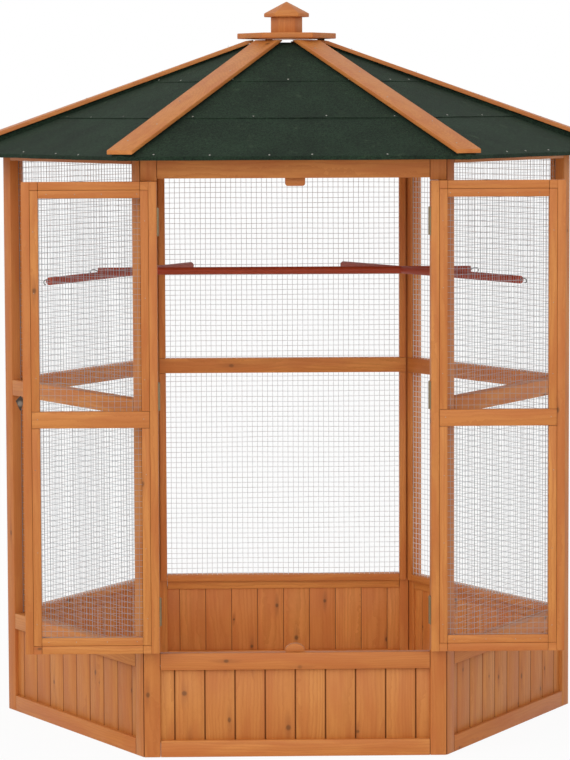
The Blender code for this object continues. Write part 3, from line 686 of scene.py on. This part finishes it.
def walls():
    """Six walls of members and boards, five with mesh on the inner side."""
    half = OPEN_W / 2 + MESH_LAP
    for index, name in enumerate(WALLS):
        place = wall_place(name)
        rear = not name.startswith("front")
        timber = Timber(100 + index)
        split = HEADER_Z - 0.006 if name == "front" else None
        stile(timber, -1, place, split)
        stile(timber, 1, place, split)
        rail(timber, 0, MEMBER_W, place)
        foot = Timber(200 + index)
        if name == "front":
            rail(timber, BOX_RAIL_Z, BOX_RAIL_TOP, place)
            rail(timber, HEADER_Z, WALL_H, place, sloped=True)
            boards(foot, BOX_RAIL_Z, place)
        else:
            rail(timber, LOWER_RAIL_Z, LOWER_RAIL_TOP, place)
            rail(timber, MID_RAIL_Z, MID_RAIL_Z + MEMBER_W, place)
            rail(timber, TOP_RAIL_Z, WALL_H, place, sloped=True)
            boards(foot, LOWER_RAIL_Z, place)
            tubes = welded_mesh(-half, half, LOWER_RAIL_TOP - MESH_LAP, TOP_RAIL_Z + MESH_LAP,
                                BACK, place, 40.0 * index, radius=REAR_WIRE_R if rear else WIRE_R)
            # The rear walls' mesh takes the wire painted near white, a lit copy of the same wire
            tubes.piece(f"{name}_welded_mesh", LIT_REAR_WIRE if rear else WIRE, "aviary",
                        "galvanised_wire", f"{name}_mesh")
            wall_beads(name, index, place)
        # The rear walls take the fir and boards painted paler, painted light for the light inside
        timber.piece(f"{name}_wall_members", LIT_REAR_FIR if rear else FIR, "aviary",
                     "stained_fir", f"{name}_frame")
        foot.piece(f"{name}_wall_boards", LIT_REAR_BOARD if rear else FIR_BOARD, "aviary",
                   "stained_fir_boards", f"{name}_boards")


# Doors

def arc(centre, radius, start, stop, steps):
    """Points of an arc between two angles in degrees."""
    points = []
    for step in range(steps + 1):
        angle = math.radians(start + (stop - start) * step / steps)
        points.append((centre[0] + radius * math.cos(angle), centre[1] + radius * math.sin(angle)))
    return points


def door_stops():
    """Two blocks behind the doorway's middle that the doors shut on."""
    front = -(BACK + GAP)
    half = STOP_W / 2
    round_r = STOP_W / 7
    low = HEADER_Z - STOP_TOP_DROP
    top = [(half, HEADER_Z + STOP_OVER), (-half, HEADER_Z + STOP_OVER)]
    top += arc((round_r - half, low + round_r), round_r, 180, 270, 8)
    top += arc((half - round_r, low + round_r), round_r, 270, 360, 8)
    top = [(x + STOP_TOP_SHIFT, z) for x, z in top]
    bottom = [(-half, BOX_RAIL_TOP - STOP_OVER), (half, BOX_RAIL_TOP - STOP_OVER)]
    bottom += [(x, BOX_RAIL_TOP + y * STOP_BOTTOM_RISE / half)
               for x, y in arc((0, 0), half, 0, 180, 24)]
    for index, (name, outline) in enumerate((("top", top), ("bottom", bottom))):
        timber = Timber(300 + index)
        shape = eased(extruded(outline, front - STOP_T, front, FACING_FRONT), 0.001)
        timber.add(shape, "XZY", tone=0.8)
        timber.piece(f"door_stop_{name}_block", FIR, "aviary", "stained_fir", f"door_stop_{name}")


def door_place(hand):
    """From a door drawn shut about its pins to where it stands, folded back."""
    pins = Matrix.Translation((-hand * PIN_X, PIN_Y, 0))
    return pins @ Matrix.Rotation(-hand * math.pi, 4, "Z")


def doors():
    """Two mesh doors with rebated members, strips in the rebates over the mesh's edges and
    a strip across each mid rail."""
    front = PIN_OUT
    back = PIN_OUT + FRAME_T
    floor = back - REBATE_D
    half = DOOR_W / 2
    inner = half - DOOR_MEMBER_W
    tongue = inner - 0.0003
    lap = REBATE_W - JOINT
    low = DOOR_Z0 + DOOR_MEMBER_W
    high = DOOR_Z1 - DOOR_MEMBER_W
    mid_low, mid_high = DOOR_MID_RAIL_Z, DOOR_MID_RAIL_Z + DOOR_MEMBER_W
    for index, (name, hand) in enumerate(DOORS.items()):
        place = door_place(hand)
        middle = hand * (DOOR_GAP / 2 + half)
        between = (middle - tongue, middle + tongue)

        timber = Timber(400 + index)
        for side in (-1, 1):
            outer, lip, rebate = [middle + side * reach
                                  for reach in (half, inner, inner + REBATE_W)]
            section = [(outer, front), (outer, back), (rebate, back), (rebate, floor),
                       (lip, floor), (lip, front)]
            timber.add(eased(extruded(section, DOOR_Z0, DOOR_Z1)), "ZXY", place)
        sections = []
        for edge, way in ((DOOR_Z0, 1), (DOOR_Z1, -1)):
            step = edge + way * (DOOR_MEMBER_W - REBATE_W)
            lip = edge + way * DOOR_MEMBER_W
            sections.append([(front, edge), (back, edge), (back, step), (floor, step),
                             (floor, lip), (front, lip)])
        sections.append(oblong(front, floor, mid_low, mid_high))
        for section in sections:
            # Painted shade, half as dark, at the rails' ends
            timber.add(eased(extruded(section, *between, ALONG_X)), "XZY", place,
                       pooled=shaded_ends(0, *between, 0.5))
        corner_blocks(timber, middle, inner, floor, back, place)
        timber.piece(f"{name}_members", FIR, name, "stained_fir", f"{name}_frame")

        beads = Timber(450 + index)
        depth = (floor + BEAD_OVER, back - 0.0004)
        for side in (-1, 1):
            across = (middle + side * inner, middle + side * (inner + lap))
            strip(beads, across, depth, (low - lap, mid_low - JOINT), place)
            strip(beads, across, depth, (mid_high + JOINT, high + lap), place)
        strip(beads, between, depth, (low - lap, low), place)
        strip(beads, between, depth, (high, high + lap), place)
        strip(beads, (middle - inner - lap, middle + inner + lap), (depth[0], back),
              (mid_low, mid_high), place)
        beads.piece(f"{name}_mesh_beads", FIR, name, "stained_fir")

        reach = inner + REBATE_W - 0.0018
        tubes = welded_mesh(middle - reach, middle + reach, low - REBATE_W + 0.0015,
                            high + REBATE_W - 0.0015, floor, place, 300.0 + 60 * index, 6)
        tubes.piece(f"{name}_welded_mesh", WIRE, name, "galvanised_wire", f"{name}_mesh")


def corner_blocks(timber, middle, inner, floor, back, place):
    """The rails' full-depth part, which runs on into the stiles' rebates at each corner."""
    for side in (-1, 1):
        ends = (middle + side * (inner + 0.0001), middle + side * (inner + REBATE_W - 0.0001))
        left, right = sorted(ends)
        for edge, way in ((DOOR_Z0, 1), (DOOR_Z1, -1)):
            low, high = sorted((edge, edge + way * (DOOR_MEMBER_W - REBATE_W)))
            shape = eased(extruded(oblong(left, right, floor, back), low, high), 0.0006, 1)
            timber.add(shape, "XZY", place)


# Roof

def under_roof(level):
    """Height of the roof boards' underside at a level distance out from the middle."""
    return WALL_H + GAP + (APOTHEM - level) * SLOPE


def over_boards(level):
    """Height of the roof boards' upper side."""
    return under_roof(level) + ROOF_BOARD_T / math.cos(PITCH)


def sheathing(name, index):
    """One side's roof boards, laid level, with an open joint between each two."""
    place = wall_place(name)
    timber = Timber(500 + index)
    edges = [VENT + (EAVE - VENT) * step / 6 for step in range(7)]
    for low, high in zip(edges, edges[1:]):
        low += 0.0004
        high -= 0.0004 if high < EAVE - 0.001 else 0
        shape = extruded(oblong(low, high, 0, 1), -1, 1, ALONG_X)
        for vertex in shape.verts:
            side, level, upper = vertex.co
            height = over_boards(level) - 0.0001 if upper > 0.5 else under_roof(level)
            vertex.co = Vector((math.copysign(level * TAN30 - MITRE_GAP, side), -level, height))
        timber.add(eased(shape, 0.0008, 1), "XYZ", place)
    timber.piece(f"{name}_roof_boarding", ROOF_BOARD, "aviary", "roof_ply", f"roof_board_{name}")


def felt_course(points, faces, low, high, lift_low, curl, seed, place):
    """One course of felt as a thin sheet from its lower edge to its upper edge."""
    start = len(points)
    for layer in (0, 1):
        for row in range(FELT_ROWS + 1):
            fraction = row / FELT_ROWS
            level = low + (high - low) * fraction
            for column in range(FELT_COLUMNS + 1):
                across = (2 * column / FELT_COLUMNS - 1) * (level * TAN30 - MITRE_GAP)
                wave = noise.noise(Vector((across * 9, level * 14, seed)))
                lift = lift_low + (GAP - lift_low) * fraction
                lift += max(0.0, wave) * 0.0007 * (1 - abs(2 * fraction - 1) * 0.3)
                jog = 0.0
                if curl and row < 2:
                    ripple = noise.noise(Vector((across * 16, seed, 3.1)))
                    lift += curl * (1 - row / 2) * (0.55 + 0.9 * ripple)
                if curl and row == 0:
                    jog = 0.0009 * noise.noise(Vector((across * 22, seed, 8.8)))
                z = over_boards(level) + lift + FELT_T * layer
                points.append(place @ Vector((across, -(level + jog), z)))
    width = FELT_COLUMNS + 1
    size = width * (FELT_ROWS + 1)
    for row in range(FELT_ROWS):
        for column in range(FELT_COLUMNS):
            a = start + row * width + column
            faces.append((a, a + 1, a + 1 + width, a + width))
            b = a + size
            faces.append((b, b + width, b + 1 + width, b + 1))
    sides = [(start + row * width + column, 1, flip) for column in range(FELT_COLUMNS)
             for row, flip in ((0, False), (FELT_ROWS, True))]
    sides += [(start + row * width + column, width, flip) for row in range(FELT_ROWS)
              for column, flip in ((0, True), (FELT_COLUMNS, False))]
    for a, stride, flip in sides:
        quad = (a, a + size, a + size + stride, a + stride)
        faces.append(quad[::-1] if flip else quad)


def eaves_fold(points, faces, index, place):
    """The lowest course's fold over the eaves: a rounded corner and a lip down the boards'
    edge."""
    top = over_boards(EAVE) + GAP
    foot = under_roof(EAVE) - FELT_DRIP
    profile = [
        (EAVE + GAP, foot), (EAVE + GAP, top), (EAVE - 0.002, top + FELT_T + 0.002 * SLOPE),
        (EAVE + FELT_T * 0.4, top + FELT_T * 0.85), (EAVE + FELT_T + GAP, top + FELT_T * 0.1),
        (EAVE + FELT_T + GAP, foot),
    ]
    start = len(points)
    for level, z in profile:
        for column in range(FELT_COLUMNS + 1):
            across = (2 * column / FELT_COLUMNS - 1) * (level * TAN30 - MITRE_GAP)
            out, drop = 0.0, 0.0
            if level > EAVE + FELT_T * 0.9:
                out = 0.0005 * noise.noise(Vector((across * 14, index, 1.7)))
            if z == foot:
                drop = 0.0008 * noise.noise(Vector((across * 9, index, 5.7)))
            points.append(place @ Vector((across, -(level + out), z + drop)))
    width = FELT_COLUMNS + 1
    count = len(profile)
    for ring in range(count):
        for column in range(FELT_COLUMNS):
            a = start + ring * width + column
            b = start + (ring + 1) % count * width + column
            faces.append((a, b, b + 1, a + 1))
    faces.append([start + ring * width for ring in reversed(range(count))])
    faces.append([start + ring * width + FELT_COLUMNS for ring in range(count)])


def felt_side(name, index):
    """A side's three courses, each over the one below, the lowest folded over the eaves."""
    place = wall_place(name)
    points, faces = [], []
    seams = (EAVE - COURSE_1, EAVE - COURSE_1 - COURSE_2)
    for low, high, lift, curl, seed in (
            (EAVE + GAP, seams[0] - FELT_LAP, GAP, 0.0, 0.1),
            (seams[0], seams[1] - FELT_LAP, GAP + FELT_T, 0.0011, 7.3),
            (seams[1], VENT, GAP + FELT_T * 0.9, 0.0005, 15.7)):
        felt_course(points, faces, low, high, lift, curl, index + seed, place)
    eaves_fold(points, faces, index, place)
    mesh = bpy.data.meshes.new(f"{name}_felt")
    mesh.from_pydata(points, [], faces)
    mesh.validate()
    shape = bmesh.new()
    shape.from_mesh(mesh)
    bmesh.ops.recalc_face_normals(shape, faces=shape.faces)
    shape.to_mesh(mesh)
    shape.free()
    soften(mesh, 40)
    settle(f"{name}_felt_courses", mesh, FELT, "aviary", "green_felt", f"roof_felt_{name}")


def hip_ridge(reach):
    """Height of the felt's ridge at a level distance out along a hip."""
    return over_boards(reach * COS30) + 2 * GAP + 2 * FELT_T


def batten_seat(name, reach, across):
    """Height of a batten's underside at a point along and across its hip."""
    lean = {"right": SIDE_LEAN, "left": -SIDE_LEAN}.get(name, 0)
    return hip_ridge(reach) + across * lean + (reach * SIDE_LIFT if lean else 0)


def hip_batten(name, index):
    """A thin planed batten laid flat along a hip, so that the felt falls away under both
    its sides, and planed level under the finial's plate. A folded strip of felt closes the
    hip under it."""
    timber = Timber(600 + index)
    half = BATTEN_W / 2
    stop = EAVE / COS30 - BATTEN_SETBACK
    level = PLATE_Z - PLATE_CLEAR
    knee = (hip_ridge(0) + BATTEN_RISE - level) / HIP_SLOPE
    shape = extruded(oblong(-half, half, 0, 1), BATTEN_TOP_R, stop, ALONG_X)
    bmesh.ops.bisect_plane(shape, geom=[*shape.verts, *shape.edges, *shape.faces],
                           plane_co=(knee, 0, 0), plane_no=(1, 0, 0))
    for vertex in shape.verts:
        reach, across, upper = vertex.co
        seat = batten_seat(name, reach, across)
        planed = max(min(seat + BATTEN_RISE, level), seat + 0.0008)
        vertex.co.z = planed if upper > 0.5 else seat
    timber.add(eased(shape, 0.0012, 3), "XYZ", hip_place(name))
    timber.piece(f"{name}_hip_cover", FIR, "aviary", "stained_fir", f"hip_batten_{name}")

    under = Timber(650 + index)
    half = HIP_FELT_HALF
    section = [(-half, 0), (0, 0), (half, 0), (half, 1), (-half, 1)]
    shape = extruded(section, BATTEN_TOP_R + 0.012, stop - 0.006, ALONG_X)
    for vertex in shape.verts:
        reach, across, upper = vertex.co
        lower = over_boards(reach * COS30 + abs(across) / 2) + GAP + FELT_T
        vertex.co.z = batten_seat(name, reach, across) - 0.0002 if upper > 0.5 else lower
    under.add(eased(shape, 0.0006, 1), "XYZ", hip_place(name))
    under.piece(f"{name}_hip_felt", FELT, "aviary", "green_felt")


def hexagon(radius):
    """The corners of a hexagon."""
    turns = [math.radians(60 * step) for step in range(6)]
    return [(radius * math.cos(turn), radius * math.sin(turn)) for turn in turns]


def finial():
    """The six-sided plate, post and pointed cap."""
    post_low = PLATE_Z + PLATE_T + GAP
    cap_low = post_low + POST_H
    rim = cap_low + CAP_RIM_H
    plate = Timber(700)
    plate.add(eased(extruded(hexagon(PLATE_R), PLATE_Z, PLATE_Z + PLATE_T), 0.0018, 3), "XYZ")
    plate.piece("finial_base_plate", FIR, "aviary", "stained_fir", "finial_plate")
    knob = Timber(701)
    knob.add(eased(extruded(hexagon(POST_R), post_low, cap_low - 0.0001), 0.0014, 2), "ZXY")
    cap = bmesh.new()
    low = [cap.verts.new((x, y, cap_low)) for x, y in hexagon(CAP_R)]
    high = [cap.verts.new((x, y, rim)) for x, y in hexagon(CAP_R)]
    tip = cap.verts.new((0, 0, rim + CAP_RISE))
    cap.faces.new(low)
    for step in range(6):
        after = (step + 1) % 6
        cap.faces.new((low[step], low[after], high[after], high[step]))
        cap.faces.new((high[step], high[after], tip))
    knob.add(eased(cap, 0.0013, 2, 12), "XYZ")
    knob.piece("finial_post_and_cap", FIR, "aviary", "stained_fir", "finial_knob")


# Perches

def cell_middle(value):
    """The middle of the mesh cell that a place along a wall falls in."""
    return (math.floor(value / MESH_PITCH) + 0.5) * MESH_PITCH


def hook_run(through, inward, outward):
    """Points of a wire hook, out of a dowel's end, over a level wire of the mesh and curled
    down outside it."""
    seat = HOOK_SEAT - PERCH_Z
    end = through + inward * PERCH_END_GAP
    run = [end + inward * 0.004, end]
    for inside, up in ((0.0095, 0.0006), (0.0070, 0.0026), (0.0042, 0.0042), (0.0018, 0.0045)):
        run.append(through + inward * inside + Vector((0, 0, up)))
    run.append(through + Vector((0, 0, seat)))
    for out, down in ((0.0030, 0.0002), (0.0056, 0.0012), (0.0074, 0.0034), (0.0080, 0.0062),
                      (0.0070, 0.0090), (0.0048, 0.0106), (0.0030, 0.0100)):
        run.append(through + outward * out + Vector((0, 0, seat - down)))
    return run


def perches():
    """Three stained dowels, halved over each other, on wire hooks through the mesh."""
    for index, (name, ends) in enumerate(PERCHES.items()):
        points = []
        for wall, along in ends:
            point = wall_place(wall).to_3x3() @ Vector((cell_middle(along), BACK + HOOK_IN, 0))
            point.z = PERCH_Z
            points.append(point)
        start, stop = points
        along = (stop - start).normalized()
        low = start + along * PERCH_END_GAP
        high = stop - along * PERCH_END_GAP
        place = Matrix.Translation(low) @ Matrix.Rotation(math.atan2(along.y, along.x), 4, "Z")
        section = arc((0, 0), PERCH_R, 0, 360 - 360 / 28, 27)
        rod = eased(extruded(section, 0, (high - low).length, ALONG_X), 0.0008, 2, 40)
        timber = Timber(800 + index)
        timber.add(rod, "XYZ", place, tone=0.3 + 0.3 * index)
        timber.piece(f"{name}_dowel", DOWEL, "aviary", "red_dowel", name)
        hooks = Tubes()
        for point, inward, (wall, _) in ((start, along, ends[0]), (stop, -along, ends[1])):
            outward = wall_place(wall).to_3x3() @ Vector((0, -1, 0))
            hooks.add(hook_run(point, inward, outward), HOOK_R, 8)
        hooks.piece(f"{name}_hooks", HOOK_STEEL, "aviary", "galvanised_wire")


# Nails, pins and spacers

HEAD_SIDES = 10


def nail_head(radius, rise, place):
    """A nail's round head, a little domed."""
    shape = bmesh.new()
    turns = [math.radians(360 / HEAD_SIDES * step) for step in range(HEAD_SIDES)]
    rings = ((radius, -0.0002), (radius, rise * 0.4), (radius * 0.75, rise * 0.85),
             (radius * 0.3, rise))
    loops = []
    for ring, height in rings:
        spots = [Vector((ring * math.cos(turn), ring * math.sin(turn), height)) for turn in turns]
        loops.append([shape.verts.new(place @ spot) for spot in spots])
    for lower, upper in zip(loops, loops[1:]):
        for step in range(HEAD_SIDES):
            after = (step + 1) % HEAD_SIDES
            shape.faces.new((lower[step], lower[after], upper[after], upper[step]))
    shape.faces.new(loops[-1])
    shape.faces.new(reversed(loops[0]))
    return shape


def fittings(name, shapes, material, body, slot):
    """Small metal pieces that are fixed to one body, as one object."""
    mesh = bpy.data.meshes.new(name)
    joined = bmesh.new()
    for shape in shapes:
        part = bpy.data.meshes.new("part")
        shape.to_mesh(part)
        shape.free()
        joined.from_mesh(part)
        bpy.data.meshes.remove(part)
    joined.to_mesh(mesh)
    joined.free()
    soften(mesh, 50)
    return settle(name, mesh, material, body, slot)


def roof_nails():
    """Clout nails through the felt along the eaves and laps, and nails down each batten."""
    pick = random.Random(900)
    laid = Matrix.Rotation(PITCH, 4, "X")
    # Each row's level distance out, its height over the boards and its nails' spacing
    rows = ((EAVE - 0.006, GAP + FELT_T, 0.120),
            (EAVE - COURSE_1 - 0.008, GAP + 2 * FELT_T, 0.160),
            (EAVE - COURSE_1 - COURSE_2 - 0.008, GAP + 2 * FELT_T, 0.160))
    for name in WALLS:
        shapes = []
        for level, lift, pitch in rows:
            span = level * TAN30 - 0.045
            count = max(2, round(2 * span / pitch))
            for step in range(count + 1):
                across = -span + 2 * span * step / count + pick.uniform(-0.03, 0.03)
                out = level + pick.uniform(-0.004, 0.004)
                spot = Matrix.Translation((across, -out, over_boards(out) + lift))
                shapes.append(nail_head(0.0020, 0.0009, wall_place(name) @ spot @ laid))
        fittings(f"{name}_felt_nails", shapes, NAIL_STEEL, "aviary", "zinc_hinge")
    shapes = []
    sloping = Matrix.Rotation(math.atan(HIP_SLOPE), 4, "Y")
    for name in HIPS:
        for step, reach in enumerate((0.135, 0.290, 0.445, 0.600, 0.700)):
            reach += pick.uniform(-0.02, 0.02)
            across = pick.uniform(0.006, 0.016) * (1 if step % 2 else -1)
            height = batten_seat(name, reach, across) + BATTEN_RISE
            spot = Matrix.Translation((reach, across, height))
            shapes.append(nail_head(0.0017, 0.0006, hip_place(name) @ spot @ sloping))
    fittings("hip_cover_nails", shapes, NAIL_STEEL, "aviary", "zinc_hinge")


def plate_spacers():
    """Dark screw collars that hold the finial's plate off two of the battens."""
    shapes = []
    section = arc((0.079, 0), 0.0085, 0, 345, 23)
    for name in ("right", "rear_left"):
        collar = extruded(section, PLATE_Z - PLATE_CLEAR - 0.0004, PLATE_Z + 0.0002)
        eased(collar, 0.0004, 1)
        bmesh.ops.transform(collar, matrix=hip_place(name), verts=collar.verts)
        shapes.append(collar)
    fittings("plate_spacers", shapes, IRON, "aviary", "dark_iron")


def bead_pins():
    """Bright heads of the pins that hold the strips on the doors."""
    inner_face = Matrix.Rotation(-math.pi / 2, 4, "X")
    back = PIN_OUT + FRAME_T
    sunk = back - 0.0004
    column = DOOR_W / 2 - DOOR_MEMBER_W + REBATE_W / 2
    bottom = DOOR_Z0 + DOOR_MEMBER_W - REBATE_W / 2
    top = DOOR_Z1 - DOOR_MEMBER_W + REBATE_W / 2
    for index, (name, hand) in enumerate(DOORS.items()):
        pick = random.Random(950 + index)
        place = door_place(hand)
        middle = hand * (DOOR_GAP / 2 + DOOR_W / 2)
        spots = []
        for z in (0.30, 0.47, 0.63, 0.84, 1.00, 1.15):
            for side in (-1, 1):
                x = middle + side * column + pick.uniform(-0.002, 0.002)
                spots.append((x, sunk, z + pick.uniform(-0.02, 0.02)))
        for x in (-0.095, -0.03, 0.035, 0.10):
            for z in (bottom, top):
                spots.append((middle + x + pick.uniform(-0.01, 0.01), sunk, z))
        for x in (-0.113, 0.113):
            spots.append((middle + x, back, DOOR_MID_RAIL_Z + DOOR_MEMBER_W * 0.55))
        shapes = [nail_head(0.0009, 0.0004, place @ Matrix.Translation(spot) @ inner_face)
                  for spot in spots]
        fittings(f"{name}_bead_pins", shapes, NAIL_STEEL, name, "zinc_hinge")


def carried_over():
    """Better finishes for the solids whose shape is right as it is."""
    finishes = {"hinge": HINGE_STEEL, "turn_button": IRON}
    for name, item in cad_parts.items():
        for part, material in finishes.items():
            if part in name:
                for slot in item.material_slots:
                    slot.material = material


# Camera, floor and light

def camera():
    """Where the photographer stood, and the lens."""
    position = Vector((-0.1748, -7.255, 1.4101))
    yaw, pitch, roll = (math.radians(angle) for angle in (1.3095, -4.6038, -0.2267))
    ahead = Vector((math.sin(yaw) * math.cos(pitch), math.cos(yaw) * math.cos(pitch),
                    math.sin(pitch)))
    level = Vector((math.cos(yaw), -math.sin(yaw), 0))
    upright = level.cross(ahead)
    right = level * math.cos(roll) + upright * math.sin(roll)
    up = upright * math.cos(roll) - level * math.sin(roll)
    data = bpy.data.cameras.new("camera")
    data.sensor_width = 36
    data.lens = 148.64
    data.shift_x = 0.00136
    data.shift_y = -0.0337
    data.clip_end = 100
    item = linked("camera", data)
    rows = [(right[axis], up[axis], -ahead[axis], position[axis]) for axis in range(3)]
    item.matrix_world = Matrix((*rows, (0, 0, 0, 1)))
    bpy.context.scene.camera = item


def shown_white(tree):
    """1 where the camera, a reflection or a view through glass sees this, and else 0."""
    rays = node(tree, "ShaderNodeLightPath").outputs
    seen = rays["Is Camera Ray"]
    for label in ("Is Glossy Ray", "Is Transmission Ray"):
        seen = node(tree, "ShaderNodeMath", {0: seen, 1: rays[label]},
                    operation="MAXIMUM").outputs[0]
    return seen


def studio():
    """A pale floor, white all round, and soft light from the upper left."""
    world = bpy.data.worlds.new("studio")
    bpy.context.scene.world = world
    world.use_nodes = True
    tree = world.node_tree
    tree.nodes.clear()
    light, white = [
        node(tree, "ShaderNodeBackground", {"Color": (1, 1, 1, 1), "Strength": strength})
        for strength in (0.60, 1.0)]
    mix = node(tree, "ShaderNodeMixShader", {0: shown_white(tree), 1: light.outputs[0],
                                             2: white.outputs[0]})
    node(tree, "ShaderNodeOutputWorld", {"Surface": mix.outputs[0]})

    # The floor's paper glows white where it is seen, and a share of it keeps the shadow
    material, tree, shader = start_material("studio_floor_paper")
    fill(tree, shader, {"Base Color": rgba("#f2f1ef"), "Roughness": 0.9})
    glow = node(tree, "ShaderNodeEmission", {"Color": (1, 1, 1, 1), "Strength": 1.0})
    part = node(tree, "ShaderNodeMath", {0: shown_white(tree), 1: 0.93}, operation="MULTIPLY")
    mix = node(tree, "ShaderNodeMixShader", {0: part.outputs[0], 1: shader.outputs[0],
                                             2: glow.outputs[0]})
    output = next(item for item in tree.nodes if item.type == "OUTPUT_MATERIAL")
    fill(tree, output, {"Surface": mix.outputs[0]})
    mesh = bpy.data.meshes.new("floor")
    corners = [(x, y, -0.0005) for x, y in oblong(-30, 30, -30, 30)]
    mesh.from_pydata(corners, [], [(0, 1, 2, 3)])
    mesh.materials.append(material)
    floor = linked("floor", mesh)

    for name, place, strength, angle in (
            ("key", (-4.4, -4.0, 3.9), 0.95, 50), ("fill", (3.2, -5.0, 2.0), 0.40, 60),
            ("front", (-0.3, -6.0, 1.0), 0.66, 40)):
        lamp = bpy.data.lights.new(name, "SUN")
        lamp.energy = strength
        lamp.angle = math.radians(angle)
        item = linked(name, lamp)
        item.location = place
        item.rotation_euler = (-Vector(place)).to_track_quat("-Z", "Y").to_euler()


walls()
door_stops()
doors()
for number, wall in enumerate(WALLS):
    sheathing(wall, number)
    felt_side(wall, number)
for number, hip in enumerate(HIPS):
    hip_batten(hip, number)
finial()
plate_spacers()
roof_nails()
perches()
bead_pins()
carried_over()
camera()
studio()

scene = bpy.context.scene
scene.view_settings.view_transform = "Standard"
